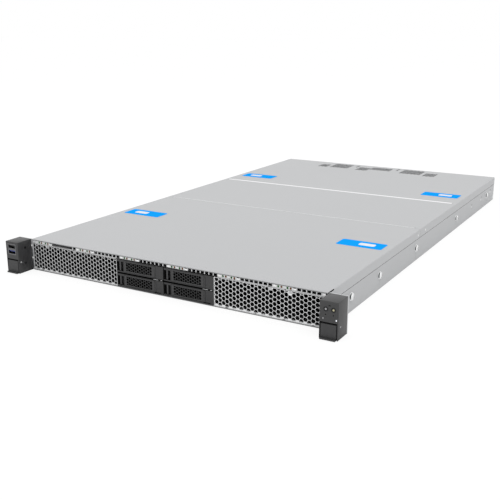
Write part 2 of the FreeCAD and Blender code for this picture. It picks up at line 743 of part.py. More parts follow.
def ear_lever_right():
    # Latch lever in one profile: front plate, forward lip, arm over the pin and rear hook.
    x0 = EAR_X0 + EAR_WALL + EAR_LEVER_GAP
    x1 = EAR_X1 - EAR_WALL - EAR_LEVER_GAP
    front = -EAR_D
    back = front + EAR_PLATE_T
    head = EAR_PIN_Z + EAR_LEVER_HEAD
    under = EAR_PIN_Z - EAR_ARM_H / 2
    over = EAR_PIN_Z + EAR_ARM_H / 2
    lip_top = EAR_LIP_BASE + EAR_LIP_T
    hook_front = EAR_HOOK_Y - EAR_HOOK_T
    profile = [
        (x0, front, head), (x0, front, lip_top), (x0, front - EAR_LIP_OUT, lip_top),
        (x0, front - EAR_LIP_OUT, EAR_LIP_BASE), (x0, back, EAR_LIP_BASE), (x0, back, under),
        (x0, hook_front, under), (x0, hook_front, under - EAR_HOOK_DROP),
        (x0, EAR_HOOK_Y, under - EAR_HOOK_DROP), (x0, EAR_HOOK_Y, over), (x0, back + EAR_LEVER_EASE, over),
        (x0, front + EAR_PLATE_T / 2, head + EAR_LEVER_CREST),
    ]
    body = prism(profile, (x1 - x0, 0, 0))
    return cut(body, ear_pin_hole())


def ear_pins():
    pin = faceted_rod(EAR_PIN_R, (EAR_X0, EAR_PIN_Y, EAR_PIN_Z), (EAR_X1 - EAR_X0, 0, 0), PIN_SIDES)
    return group([pin, mirrored(pin)])


def ear_brackets():
    # Steel angle behind each ear: a face that meets the rack and a tab on the side wall.
    face = box(PAN_HALF, EAR_X1, 0, BRACKET_T, BRACKET_TAB_Z0, BRACKET_TAB_Z1)
    wide = box(EAR_X0, EAR_X1, 0, BRACKET_T, 0, CHASSIS_H)
    tab = box(PAN_HALF, PAN_HALF + BRACKET_T, 0, BRACKET_TAB_L, BRACKET_TAB_Z0, BRACKET_TAB_Z1)
    angle = fuse(face, wide, tab)
    return group([angle, mirrored(angle)])


def ear_screws():
    heads = []
    middle = (BRACKET_TAB_Z0 + BRACKET_TAB_Z1) / 2
    for side in (-1, 1):
        for offset in (-EAR_SCREW_PITCH / 2, EAR_SCREW_PITCH / 2):
            start = (side * (PAN_HALF + BRACKET_T), EAR_SCREW_Y, middle + offset)
            heads.append(faceted_rod(EAR_SCREW_R, start, (side * EAR_SCREW_H, 0, 0), 6))
    return group(heads)


def rail_studs():
    studs = []
    for side in (-1, 1):
        wall = side * PAN_HALF
        for y in STUD_PLACES:
            neck = faceted_rod(STUD_NECK_R, (wall, y, STUD_Z), (side * STUD_NECK_L, 0, 0), PIN_SIDES)
            head = rod(STUD_HEAD_R, (wall + side * STUD_NECK_L, y, STUD_Z), (side * STUD_HEAD_T, 0, 0))
            studs.append(fuse(neck, head))
    return group(studs)


def drive_backplane():
    # Board behind the cage, with one connector for each of the four drives.
    side = PAN_IN - BACKPLANE_SIDE
    board = box(-side, side, BACKPLANE_Y, BACKPLANE_Y + BACKPLANE_T, PAN_T, BACKPLANE_TOP)
    parts = []
    for column in (-1, 0):
        for z0 in ROWS:
            x = (column + 0.5) * BAY_PITCH
            z = z0 + BEZEL_H / 2
            parts.append(box(x - CONNECTOR_W / 2, x + CONNECTOR_W / 2, BACKPLANE_Y - CONNECTOR_L,
                             BACKPLANE_Y + BACKPLANE_T / 2, z - CONNECTOR_H / 2, z + CONNECTOR_H / 2))
    return fuse(board, *parts)


def fan_centres():
    return [(k - (FAN_COUNT - 1) / 2) * FAN_PITCH for k in range(FAN_COUNT)]


def fan_frame(x):
    # Square frame with a round duct; four struts carry the motor seat.
    z = PAN_T + FAN_SIZE / 2
    half = FAN_SIZE / 2
    rear = FAN_Y + FAN_DEPTH
    frame = cut(box(x - half, x + half, FAN_Y, rear, z - half, z + half),
                faceted_hole(FAN_BORE_R, (x, FAN_Y - PAST, z), (0, FAN_DEPTH + 2 * PAST, 0), FAN_SIDES))
    seat = faceted_rod(FAN_HUB_R, (x, rear - FAN_STATOR_T, z), (0, FAN_STATOR_T, 0), FAN_SIDES)
    reach = FAN_BORE_R + OVERLAP
    w = FAN_STRUT_W / 2
    flat = box(x - reach, x + reach, rear - FAN_STATOR_T, rear, z - w, z + w)
    tall = box(x - w, x + w, rear - FAN_STATOR_T, rear, z - reach, z + reach)
    hole = faceted_hole(FAN_SHAFT_R + PIN_CLEARANCE, (x, rear - FAN_STATOR_T - PAST, z),
                        (0, FAN_STATOR_T + 2 * PAST, 0), PIN_SIDES)
    return cut(fuse(frame, seat, flat, tall), hole)


def fan_frames():
    return group(fan_frame(x) for x in fan_centres())


def blade(x, y, z, hub_r, tip_r, chord, turn):
    # Twisted blade, steep at its root and flatter at its tip, each long side folded along its diagonal.
    out = V(math.cos(turn), 0, math.sin(turn))
    around = V(-math.sin(turn), 0, math.cos(turn))
    along = V(0, 1, 0)
    sections = []
    for radius, degrees in ((hub_r - OVERLAP, BLADE_ROOT_PITCH), (tip_r, BLADE_TIP_PITCH)):
        pitch = math.radians(degrees)
        corners = []
        for u, v in ((-1, -1), (1, -1), (1, 1), (-1, 1)):
            s = u * chord / 2
            t = v * FAN_BLADE_T / 2
            place = out * radius + around * (s * math.cos(pitch) - t * math.sin(pitch))
            place = place + along * (s * math.sin(pitch) + t * math.cos(pitch))
            corners.append(place + V(x, y, z))
        sections.append(corners)
    root, tip = sections
    faces = [Part.Face(Part.makePolygon(ring + ring[:1])) for ring in sections]
    for k in range(4):
        n = (k + 1) % 4
        for triangle in ((root[k], root[n], tip[n]), (root[k], tip[n], tip[k])):
            faces.append(Part.Face(Part.makePolygon(list(triangle) + [triangle[0]])))
    solid = Part.makeSolid(Part.makeShell(faces))
    return solid if solid.Volume > 0 else solid.reversed()


def rotor(x, z, y0, y1, hub_r, tip_r, chord, shaft_l):
    # Faceted hub, twisted blades and a stub shaft towards the rear.
    hub = faceted_rod(hub_r, (x, y0, z), (0, y1 - y0, 0), FAN_SIDES)
    shaft = faceted_rod(FAN_SHAFT_R, (x, y1 - OVERLAP, z), (0, shaft_l + OVERLAP, 0), PIN_SIDES)
    middle = (y0 + y1) / 2
    turns = [2 * math.pi * k / FAN_BLADES for k in range(FAN_BLADES)]
    blades = [blade(x, middle, z, hub_r, tip_r, chord, turn) for turn in turns]
    return fuse(hub, shaft, *blades)


def fan_rotor(x):
    return rotor(x, PAN_T + FAN_SIZE / 2, FAN_Y + FAN_NOSE, FAN_ROTOR_END, FAN_HUB_R, FAN_TIP_R, FAN_CHORD,
                 FAN_RUNNING_GAP + FAN_STATOR_T)


def main_board():
    # T-shaped board: full width in front, narrow between the power supplies.
    wide = PAN_IN - BOARD_SIDE
    narrow = PARTITION_X - PARTITION_T - BOARD_SIDE
    rear = CHASSIS_L - REAR_T - BOARD_REAR_GAP
    outline = [(-wide, BOARD_Y), (wide, BOARD_Y), (wide, BOARD_STEP), (narrow, BOARD_STEP),
               (narrow, rear), (-narrow, rear), (-narrow, BOARD_STEP), (-wide, BOARD_STEP)]
    return prism([(x, y, BOARD_Z) for x, y in outline], (0, 0, BOARD_T))


def memory_places():
    first = -(MEMORY_SLOTS - 1) / 2
    banks = (-MEMORY_OUTER_X, -MEMORY_INNER_X, MEMORY_INNER_X, MEMORY_OUTER_X)
    return [[bank + (first + k) * MEMORY_PITCH for k in range(MEMORY_SLOTS)] for bank in banks]


def memory_slots():
    slots = []
    y0 = MEMORY_Y
    y1 = MEMORY_Y + MEMORY_L
    low = BOARD_TOP + MEMORY_SLOT_H
    high = BOARD_TOP + MEMORY_TOWER_H
    for bank in memory_places():
        for x in bank:
            left = x - MEMORY_SLOT_W / 2
            profile = [(left, y0, BOARD_TOP), (left, y1, BOARD_TOP), (left, y1, high),
                       (left, y1 - MEMORY_TOWER_L, high), (left, y1 - MEMORY_TOWER_L, low),
                       (left, y0 + MEMORY_TOWER_L, low), (left, y0 + MEMORY_TOWER_L, high), (left, y0, high)]
            slots.append(prism(profile, (MEMORY_SLOT_W, 0, 0)))
    return group(slots)


def memory_modules():
    # Half of the slots are filled, every other one.
    inset = MEMORY_TOWER_L + MODULE_END_GAP
    low = BOARD_TOP + MEMORY_SLOT_H
    modules = []
    for bank in memory_places():
        for x in bank[::2]:
            modules.append(box(x - MODULE_T / 2, x + MODULE_T / 2, MEMORY_Y + inset,
                               MEMORY_Y + MEMORY_L - inset, low, low + MODULE_H))
    return group(modules)


def heat_sink(x):
    # Comb of fins along the air flow, on a base over the processor socket.
    y0 = MEMORY_Y + (MEMORY_L - SINK_L) / 2
    base_z = BOARD_TOP + SOCKET_H
    fin_z = base_z + SINK_BASE
    top = base_z + SINK_H
    pitch = (SINK_W - SINK_FIN_T) / (SINK_FINS - 1)
    left = x - SINK_W / 2
    comb = [(left + SINK_W, y0, base_z), (left, y0, base_z)]
    for k in range(SINK_FINS):
        a = left + k * pitch
        b = a + SINK_FIN_T
        comb += [(a, y0, top), (b, y0, top)]
        if k < SINK_FINS - 1:
            comb += [(b, y0, fin_z), (a + pitch, y0, fin_z)]
    fins = prism(comb, (0, SINK_L, 0))
    middle = MEMORY_Y + MEMORY_L / 2
    half = SINK_W / 2 - SOCKET_INSET
    socket = box(x - half, x + half, middle - half, middle + half, BOARD_TOP, base_z)
    return fuse(fins, socket)


def cpu_heatsinks():
    return group([heat_sink(-SINK_X), heat_sink(SINK_X)])


def psu_case(x):
    # Metal case with a fan duct and guard, a mains inlet and two lugs for the latch.
    rear = CHASSIS_L
    case = box(x - PSU_W / 2, x + PSU_W / 2, PSU_Y, rear, PAN_T, PAN_T + PSU_H)
    fan_x = x + PSU_FAN_X
    duct = faceted_hole(PSU_FAN_BORE_R, (fan_x, rear - PSU_FAN_D, PSU_FAN_Z),
                        (0, PSU_FAN_D + PAST, 0), FAN_SIDES)
    seat = FAN_STATOR_T + FAN_RUNNING_GAP
    bearing = faceted_hole(FAN_SHAFT_R + PIN_CLEARANCE, (fan_x, rear - PSU_FAN_D - seat, PSU_FAN_Z),
                           (0, seat + PAST, 0), PIN_SIDES)
    inlet_x = x + INLET_X
    w = INLET_W / 2
    h = INLET_H / 2
    deep = rear - INLET_D
    outline = [(-w, -h), (w, -h), (w, h - INLET_CORNER), (w - INLET_CORNER, h),
               (INLET_CORNER - w, h), (-w, h - INLET_CORNER)]
    inlet = prism([(inlet_x + u, deep, INLET_Z + v) for u, v in outline], (0, INLET_D + PAST, 0))
    case = cut(case, duct, bearing, inlet)
    extras = []
    for offset in (-INLET_BLADE_X, 0, INLET_BLADE_X):
        z = INLET_Z + (INLET_BLADE_SHIFT if offset == 0 else -INLET_BLADE_SHIFT)
        extras.append(box(inlet_x + offset - INLET_BLADE_W / 2, inlet_x + offset + INLET_BLADE_W / 2,
                          deep - OVERLAP, deep + INLET_BLADE_L, z - INLET_BLADE_H / 2, z + INLET_BLADE_H / 2))
    front = rear - PSU_GUARD_T
    reach = PSU_FAN_BORE_R + OVERLAP
    g = PSU_GUARD_W / 2
    ring = cut(faceted_rod(PSU_GUARD_R, (fan_x, front, PSU_FAN_Z), (0, PSU_GUARD_T, 0), FAN_SIDES),
               faceted_rod(PSU_GUARD_R - PSU_GUARD_W, (fan_x, front - PAST, PSU_FAN_Z),
                           (0, PSU_GUARD_T + 2 * PAST, 0), FAN_SIDES))
    extras.append(ring)
    extras.append(box(fan_x - reach, fan_x + reach, front, rear, PSU_FAN_Z - g, PSU_FAN_Z + g))
    extras.append(box(fan_x - g, fan_x + g, front, rear, PSU_FAN_Z - reach, PSU_FAN_Z + reach))
    latch_x = x + LATCH_X
    lug = LATCH_KNUCKLE_R
    low = LATCH_Z - LATCH_END_GAP
    high = LATCH_Z + LATCH_H + LATCH_END_GAP
    for z0, z1 in ((low - LATCH_LUG_T, low), (high, high + LATCH_LUG_T)):
        extras.append(box(latch_x - lug, latch_x + lug, rear - OVERLAP, LATCH_PIN_Y + lug, z0, z1))
    extras.append(faceted_rod(LATCH_PIN_R, (latch_x, LATCH_PIN_Y, low - OVERLAP),
                              (0, 0, high - low + 2 * OVERLAP), PIN_SIDES))
    return fuse(case, *extras)


def psu_handle(x):
    # Loop in front of the fan, with rounded outer and inner corners.
    centre = x + PSU_FAN_X
    half = HANDLE_W / 2
    z0 = PSU_FAN_Z - HANDLE_H / 2
    rear = CHASSIS_L
    arc = HANDLE_CORNER
    outer = loop_outline(centre, half, rear, rear + HANDLE_OUT, arc, z0)
    inner = loop_outline(centre, half - HANDLE_T, rear - PAST, rear + HANDLE_OUT - HANDLE_T,
                         arc - HANDLE_T, z0)
    up = V(0, 0, HANDLE_H)
    return Part.Face(outer).extrude(up).cut(Part.Face(inner).extrude(up))


def loop_outline(x, half, y0, y1, radius, z):
    # Closed outline with its two far corners rounded.
    slant = radius * math.sqrt(0.5)
    a = V(x - half, y0, z)
    b = V(x - half, y1 - radius, z)
    c = V(x - half + radius, y1, z)
    d = V(x + half - radius, y1, z)
    e = V(x + half, y1 - radius, z)
    f = V(x + half, y0, z)
    left_mid = V(x - half + radius - slant, y1 - radius + slant, z)
    right_mid = V(x + half - radius + slant, y1 - radius + slant, z)
    edges = [Part.LineSegment(a, b), Part.Arc(b, left_mid, c), Part.LineSegment(c, d),
             Part.Arc(d, right_mid, e), Part.LineSegment(e, f), Part.LineSegment(f, a)]
    return Part.Wire([edge.toShape() for edge in edges])


def psu_latch(x):
    # Thumb latch that turns on the pin between the lugs.
    pin_x = x + LATCH_X
    left = pin_x - LATCH_T / 2
    end = CHASSIS_L + LATCH_OUT
    top = LATCH_Z + LATCH_H
    knuckle = faceted_rod(LATCH_KNUCKLE_R, (pin_x, LATCH_PIN_Y, LATCH_Z), (0, 0, LATCH_H), 2 * PIN_SIDES)
    paddle = box(left, left + LATCH_T, LATCH_PIN_Y, end, LATCH_Z, top)
    tip = box(left, left + LATCH_TIP_W, end - LATCH_T, end, LATCH_Z, top)
    hole = faceted_hole(LATCH_PIN_R + PIN_CLEARANCE, (pin_x, LATCH_PIN_Y, LATCH_Z - PAST),
                        (0, 0, LATCH_H + 2 * PAST), PIN_SIDES)
    return cut(fuse(knuckle, paddle, tip), hole)


def psu_fan(x):
    # The shaft points inwards, so the rotor is turned round in its duct.
    fan_x = x + PSU_FAN_X
    inner = CHASSIS_L - PSU_FAN_D + FAN_RUNNING_GAP
    outer = CHASSIS_L - PSU_FAN_SETBACK
    wheel = rotor(fan_x, PSU_FAN_Z, inner, outer, PSU_FAN_HUB_R, PSU_FAN_TIP_R, PSU_FAN_CHORD,
                  FAN_STATOR_T)
    wheel.rotate(V(fan_x, (inner + outer) / 2, PSU_FAN_Z), V(0, 0, 1), 180)
    return wheel


def slot_centres():
    return [(k - (SLOT_COUNT - 1) / 2) * SLOT_PITCH for k in range(SLOT_COUNT)]


def port_fronts():
    # Middle, half width, base and top of each opening for a port in the rear wall.
    fronts = [(x, JACK_W / 2, BOARD_TOP, BOARD_TOP + JACK_H) for x in JACK_X]
    usb_z = BOARD_TOP + REAR_USB_BASE
    fronts += [(x, USB_W / 2, usb_z, usb_z + USB_H) for x in REAR_USB_X]
    fronts.append((VIDEO_X, VIDEO_W / 2, BOARD_TOP, BOARD_TOP + VIDEO_H))
    return fronts


def rear_panel():
    # Rear wall with its openings, and the partitions beside the power supplies.
    y0 = CHASSIS_L - REAR_T
    holes = []
    for x in slot_centres():
        holes.append(rectangle_wire(x - SLOT_OPEN_W / 2, x + SLOT_OPEN_W / 2, y0, SLOT_OPEN_Z,
                                    SLOT_OPEN_Z + SLOT_OPEN_H))
    for x, half, z0, z1 in port_fronts():
        holes.append(rectangle_wire(x - half - PORT_FIT, x + half + PORT_FIT, y0,
                                    z0 - PORT_FIT, z1 + PORT_FIT))
    holes.append(rectangle_wire(NETWORK_START, NETWORK_END, y0, BOARD_TOP, BOARD_TOP + NETWORK_H))
    wall = pierced_plate(rectangle_wire(-PARTITION_X, PARTITION_X, y0, PAN_T, RIM_Z), holes, REAR_T)
    sides = []
    for side in (-1, 1):
        a = side * PARTITION_X
        b = side * (PARTITION_X - PARTITION_T)
        sides.append(box(min(a, b), max(a, b), PSU_Y, CHASSIS_L - REAR_T / 2, PAN_T, RIM_Z))
    return fuse(wall, *sides)


def slot_covers():
    # Three card-slot covers and the network bay's cover, behind the rear wall.
    y1 = CHASSIS_L - REAR_T
    y0 = y1 - SLOT_COVER_T
    covers = []
    for x in slot_centres():
        lap = SLOT_COVER_LAP
        middle = SLOT_OPEN_Z + SLOT_OPEN_H / 2
        vents = []
        for k in range(SLOT_VENTS):
            vx = x + (k - (SLOT_VENTS - 1) / 2) * SLOT_VENT_PITCH
            vents.append(rectangle_wire(vx - SLOT_VENT_W / 2, vx + SLOT_VENT_W / 2, y0,
                                        middle - SLOT_VENT_H / 2, middle + SLOT_VENT_H / 2))
        outline = rectangle_wire(x - SLOT_OPEN_W / 2 - lap, x + SLOT_OPEN_W / 2 + lap, y0,
                                 SLOT_OPEN_Z - lap, SLOT_OPEN_Z + SLOT_OPEN_H + lap)
        covers.append(pierced_plate(outline, vents, SLOT_COVER_T))
    covers.append(box(NETWORK_START - NETWORK_LAP, NETWORK_END + NETWORK_LAP, y0, y1,
                      BOARD_TOP + PORT_FIT, BOARD_TOP + NETWORK_H + NETWORK_LAP))
    return group(covers)


def network_jack(x):
    y1 = CHASSIS_L
    body = box(x - JACK_W / 2, x + JACK_W / 2, y1 - JACK_L, y1, BOARD_TOP, BOARD_TOP + JACK_H)
    z0 = BOARD_TOP + JACK_BASE
    mouth = box(x - JACK_OPEN_W / 2, x + JACK_OPEN_W / 2, y1 - JACK_OPEN_D, y1 + PAST,
                z0, z0 + JACK_OPEN_H)
    return cut(body, mouth)


def video_port():
    # Flanged connector with its D-shaped shell.
    y1 = CHASSIS_L
    z = BOARD_TOP + VIDEO_H / 2
    body = box(VIDEO_X - VIDEO_W / 2, VIDEO_X + VIDEO_W / 2, y1 - VIDEO_L, y1,
               BOARD_TOP, BOARD_TOP + VIDEO_H)
    w = VIDEO_SHELL_W / 2
    h = VIDEO_SHELL_H / 2
    outline = [(-w, h), (w, h), (w - VIDEO_TAPER, -h), (VIDEO_TAPER - w, -h)]
    shell = prism([(VIDEO_X + u, y1 - OVERLAP, z + v) for u, v in outline],
                  (0, VIDEO_SHELL_OUT + OVERLAP, 0))
    return fuse(body, shell)


def rear_ports():
    usb_z = BOARD_TOP + REAR_USB_BASE + USB_H / 2
    ports = [network_jack(x) for x in JACK_X]
    for x in REAR_USB_X:
        foot = box(x - USB_W / 2, x + USB_W / 2, CHASSIS_L - USB_D, CHASSIS_L - REAR_T - PORT_FIT,
                   BOARD_TOP, usb_z - USB_H / 2)
        ports.append(fuse(usb_port(x, CHASSIS_L, usb_z, -1), foot))
    ports.append(video_port())
    return group(ports)


def bays():
    # Number, left edge and base of the four carrier bays, along the top row and then the bottom one.
    places = [(x0, z0) for z0 in reversed(ROWS) for x0 in (-BAY_PITCH, 0)]
    return [(number + 1, x0, z0) for number, (x0, z0) in enumerate(places)]


def build():
    nodes = {
        "chassis_pan": chassis_pan(), "rear_panel": rear_panel(), "cross_brace": cross_brace(),
        "front_cover": front_cover(), "rear_cover": rear_cover(), "drive_cage": drive_cage(),
        "front_blanks_left": blank_pair(-1), "front_blanks_right": blank_pair(1),
        "vent_strip": vent_strip(), "light_pipes": light_pipes(), "info_tag": info_tag(),
        "ear_housing_left": ear_housing_left(), "ear_housing_right": ear_housing_right(),
        "ear_brackets": ear_brackets(), "ear_screws": ear_screws(), "ear_pins": ear_pins(),
        "front_usb_ports": front_usb_ports(), "power_button": ear_button(POWER_X),
        "id_button": ear_button(IDENT_X), "rail_studs": rail_studs(),
        "drive_backplane": drive_backplane(), "fan_frames": fan_frames(), "main_board": main_board(),
        "cpu_heatsinks": cpu_heatsinks(), "memory_slots": memory_slots(),
        "memory_modules": memory_modules(), "slot_covers": slot_covers(), "rear_ports": rear_ports(),
    }
    lever = ear_lever_right()
    nodes["ear_lever_right"] = lever
    nodes["ear_lever_left"] = mirrored(lever)
    for number, x0, z0 in bays():
        nodes["carrier_%d" % number] = carrier(x0, z0)
        nodes["drive_%d" % number] = drive(x0, z0)
        nodes["carrier_lever_%d" % number] = carrier_lever(x0, z0)
        nodes["release_bar_%d" % number] = release_bar(x0, z0)
    for number, x in enumerate(fan_centres()):
        nodes["fan_rotor_%d" % (number + 1)] = fan_rotor(x)
    for number, side in ((1, -1), (2, 1)):
        x = side * PSU_X
        nodes["psu_case_%d" % number] = psu_case(x)
        nodes["psu_handle_%d" % number] = psu_handle(x)
        nodes["psu_latch_%d" % number] = psu_latch(x)
        nodes["psu_fan_%d" % number] = psu_fan(x)
    return nodes


os.makedirs("parts", exist_ok=True)
for name, shape in build().items():
    shape.exportStep("parts/%s.step" % name)
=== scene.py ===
"""A rack server one unit high, finished for a studio picture."""
import math

import bpy
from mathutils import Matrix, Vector


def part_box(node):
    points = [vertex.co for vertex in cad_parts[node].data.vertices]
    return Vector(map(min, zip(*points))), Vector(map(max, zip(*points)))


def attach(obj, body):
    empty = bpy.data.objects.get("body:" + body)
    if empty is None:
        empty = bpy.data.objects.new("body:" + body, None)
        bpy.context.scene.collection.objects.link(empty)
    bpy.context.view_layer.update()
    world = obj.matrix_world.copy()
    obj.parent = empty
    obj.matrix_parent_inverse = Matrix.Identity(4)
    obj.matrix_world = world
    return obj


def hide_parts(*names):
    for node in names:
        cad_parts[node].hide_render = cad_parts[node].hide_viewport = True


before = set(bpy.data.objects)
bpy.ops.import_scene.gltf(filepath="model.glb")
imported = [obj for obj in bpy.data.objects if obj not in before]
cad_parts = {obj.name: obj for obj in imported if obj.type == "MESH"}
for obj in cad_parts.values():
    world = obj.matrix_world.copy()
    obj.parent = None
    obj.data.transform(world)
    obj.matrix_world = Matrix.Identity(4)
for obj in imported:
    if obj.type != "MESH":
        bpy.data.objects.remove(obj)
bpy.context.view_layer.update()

bl_info = {
    "name": "Rack Server",
    "version": (1, 0, 0),
    "blender": (4, 5, 0),
    "location": "3D View > Sidebar > Server",
    "description": "Grilles, covers, control ears and finishes of a rack server",
    "category": "Object",
}


# Sizes and colours

class ServerSizes(bpy.types.PropertyGroup):
    hole_pitch: bpy.props.FloatProperty(
        name="Grille pitch", description="Height from one grille hole to the next in a column",
        default=0.00556, unit="LENGTH")
    hole_flats: bpy.props.FloatProperty(
        name="Grille hole", description="Width of a grille hole across its flats",
        default=0.0051, unit="LENGTH")
    grille_low: bpy.props.FloatProperty(
        name="Grille start", description="Foot of the lowest whole hole in the front grilles",
        default=0.00425, unit="LENGTH")
    grille_high: bpy.props.FloatProperty(
        name="Grille top", description="Upper limit of the holes in the front grilles",
        default=0.03675, unit="LENGTH")
    grille_cut: bpy.props.FloatProperty(
        name="Grille cut", description="Height at which the lowest grille holes are cut off straight",
        default=0.0021, unit="LENGTH")
    lever_pitch: bpy.props.FloatProperty(
        name="Lever pitch", description="Height from one carrier lever hole to the next",
        default=0.00386, unit="LENGTH")
    lever_flats: bpy.props.FloatProperty(
        name="Lever hole", description="Width of a carrier lever hole across its flats",
        default=0.0034, unit="LENGTH")
    strip_pitch: bpy.props.FloatProperty(
        name="Strip pitch", description="Distance between the square vents above the bays",
        default=0.00605, unit="LENGTH")
    strip_hole: bpy.props.FloatProperty(
        name="Strip vent", description="Width of a square vent above the bays",
        default=0.0049, unit="LENGTH")
    vent_pitch: bpy.props.FloatProperty(
        name="Cover vent pitch", description="Distance between the holes in the rear cover",
        default=0.0044, unit="LENGTH")
    vent_flats: bpy.props.FloatProperty(
        name="Cover vent hole", description="Width of a hole in the rear cover across its flats",
        default=0.0036, unit="LENGTH")
    fold_radius: bpy.props.FloatProperty(
        name="Fold radius", description="Outer radius of the covers' folds",
        default=0.0011, unit="LENGTH")
    lens: bpy.props.FloatProperty(
        name="Lens", description="Focal length of the camera, in millimetres on a 36 mm sensor",
        default=54.68)


class ServerColours(bpy.types.PropertyGroup):
    sheet: bpy.props.FloatVectorProperty(
        name="Sheet metal", description="Light grey of the chassis and covers",
        default=(0.462, 0.468, 0.477), subtype="COLOR", size=3)
    grille: bpy.props.FloatVectorProperty(
        name="Front sheet", description="Brighter grey of the front grilles and the strip above them",
        default=(0.710, 0.715, 0.720), subtype="COLOR", size=3)
    plastic: bpy.props.FloatVectorProperty(
        name="Dark plastic", description="Dark grey of the ears",
        default=(0.032, 0.032, 0.033), subtype="COLOR", size=3)
    carrier: bpy.props.FloatVectorProperty(
        name="Carrier plastic", description="Dark grey of the drive carriers",
        default=(0.025, 0.025, 0.026), subtype="COLOR", size=3)
    label: bpy.props.FloatVectorProperty(
        name="Cover label", description="Blue of the four labels on the covers",
        default=(0.008, 0.350, 0.950), subtype="COLOR", size=3)
    green_lamp: bpy.props.FloatVectorProperty(
        name="Green lamp", description="Green of the drive lamps",
        default=(0.008, 0.070, 0.006), subtype="COLOR", size=3)
    amber_lamp: bpy.props.FloatVectorProperty(
        name="Amber lamp", description="Amber of the drive lamps",
        default=(0.110, 0.040, 0.010), subtype="COLOR", size=3)
    board: bpy.props.FloatVectorProperty(
        name="Circuit board", description="Green of the boards",
        default=(0.010, 0.095, 0.045), subtype="COLOR", size=3)
    latch: bpy.props.FloatVectorProperty(
        name="Supply latch", description="Green of the power supply latches",
        default=(0.020, 0.240, 0.100), subtype="COLOR", size=3)


# Shaping, each step as it is done by hand

# How far a cutter stands past the surface that it cuts
PAST = 0.001
SIDES = ((-1, "left"), (1, "right"))


def deselect():
    if bpy.context.object and bpy.context.object.mode != "OBJECT":
        bpy.ops.object.mode_set(mode="OBJECT")
    bpy.ops.object.select_all(action="DESELECT")


def take(piece):
    deselect()
    piece.select_set(True)
    bpy.context.view_layer.objects.active = piece


def named(name):
    piece = bpy.context.object
    piece.name = name
    piece.data.name = name
    bpy.ops.object.transform_apply(location=True, rotation=True, scale=True)
    return piece


def block(name, corner, opposite):
    """A box between two opposite corners."""
    deselect()
    size = [abs(b - a) for a, b in zip(corner, opposite)]
    middle = [(a + b) / 2 for a, b in zip(corner, opposite)]
    bpy.ops.mesh.primitive_cube_add(size=1.0, location=middle, scale=size)
    return named(name)


def rod(name, middle, radius, depth, along, sides=32):
    deselect()
    turn = {"x": (0, math.pi / 2, 0), "y": (math.pi / 2, 0, 0), "z": (0, 0, 0)}[along]
    bpy.ops.mesh.primitive_cylinder_add(vertices=sides, radius=radius, depth=depth, location=middle,
                                        rotation=turn)
    return named(name)


def apply_all(piece):
    take(piece)
    for modifier in list(piece.modifiers):
        bpy.ops.object.modifier_apply(modifier=modifier.name)


def smooth(piece, angle):
    take(piece)
    bpy.ops.object.shade_smooth_by_angle(angle=math.radians(angle))


def round_edges(piece, width, segments=2):
    bevel = piece.modifiers.new("Rounded edges", "BEVEL")
    bevel.width = width
    bevel.segments = segments
    bevel.limit_method = "ANGLE"
    bevel.angle_limit = math.radians(40)
    bevel.use_clamp_overlap = True
    apply_all(piece)
    smooth(piece, 35)


def join(name, pieces):
    deselect()
    for piece in pieces:
        piece.select_set(True)
    bpy.context.view_layer.objects.active = pieces[0]
    if len(pieces) > 1:
        bpy.ops.object.join()
    return named(name)


def copies(piece, places):
    """A copy of the piece at each place, moved from where the piece stood; the piece itself goes."""
    made = []
    for place in places:
        twin = piece.copy()
        twin.data = piece.data.copy()
        twin.location = place
        bpy.context.scene.collection.objects.link(twin)
        made.append(twin)
    bpy.data.objects.remove(piece)
    return made


def along_x(piece, distances):
    return copies(piece, [(x, 0, 0) for x in distances])


def carve(piece, cutter, operation="DIFFERENCE"):
    modifier = piece.modifiers.new("Carve", "BOOLEAN")
    modifier.operation = operation
    modifier.solver = "EXACT"
    modifier.object = cutter
    apply_all(piece)
    bpy.data.objects.remove(cutter)


def trim(piece, point, normal):
    """Cuts away the side that the normal points to, and closes the cut."""
    take(piece)
    bpy.ops.object.mode_set(mode="EDIT")
    bpy.ops.mesh.select_all(action="SELECT")
    bpy.ops.mesh.bisect(plane_co=point, plane_no=normal, use_fill=True, clear_outer=True)
    bpy.ops.object.mode_set(mode="OBJECT")


def pick(piece, kind, wanted):
    """Opens the piece in edit mode with only the wanted edges or faces selected."""
    take(piece)
    bpy.ops.object.mode_set(mode="EDIT")
    bpy.ops.mesh.select_mode(type=kind)
    bpy.ops.mesh.select_all(action="DESELECT")
    bpy.ops.object.mode_set(mode="OBJECT")
    for element in piece.data.edges if kind == "EDGE" else piece.data.polygons:
        element.select = wanted(element)
    bpy.ops.object.mode_set(mode="EDIT")


def round_picked(piece, wanted, radius, segments):
    """Rounds the edges whose two ends the test wants."""
    pick(piece, "EDGE", lambda edge: wanted(*(piece.data.vertices[i].co for i in edge.vertices)))
    bpy.ops.mesh.bevel(offset=radius, segments=segments, affect="EDGES")
    bpy.ops.object.mode_set(mode="OBJECT")


def hexagon_punch(flats, y0, y1):
    """A six-sided punch along Y at the origin, flat at its top and bottom."""
    deselect()
    bpy.ops.mesh.primitive_cylinder_add(vertices=6, radius=flats / math.sqrt(3), depth=y1 - y0,
                                        location=(0, (y0 + y1) / 2, 0), rotation=(math.pi / 2, 0, 0))
    punch = named("punch")
    take(punch)
    bpy.ops.object.mode_set(mode="EDIT")
    bpy.ops.mesh.select_all(action="SELECT")
    bpy.ops.transform.rotate(value=math.radians(30), orient_axis="Y", center_override=(0, 0, 0))
    bpy.ops.object.mode_set(mode="OBJECT")
    return punch


# Materials

def add_node(tree, kind, x, y, **values):
    node = tree.nodes.new(kind)
    node.location = (x, y)
    for key, value in values.items():
        setattr(node, key, value)
    return node


def fill(node, values):
    """Sets the constants of a node's sockets."""
    for socket, value in values.items():
        node.inputs[socket].default_value = value


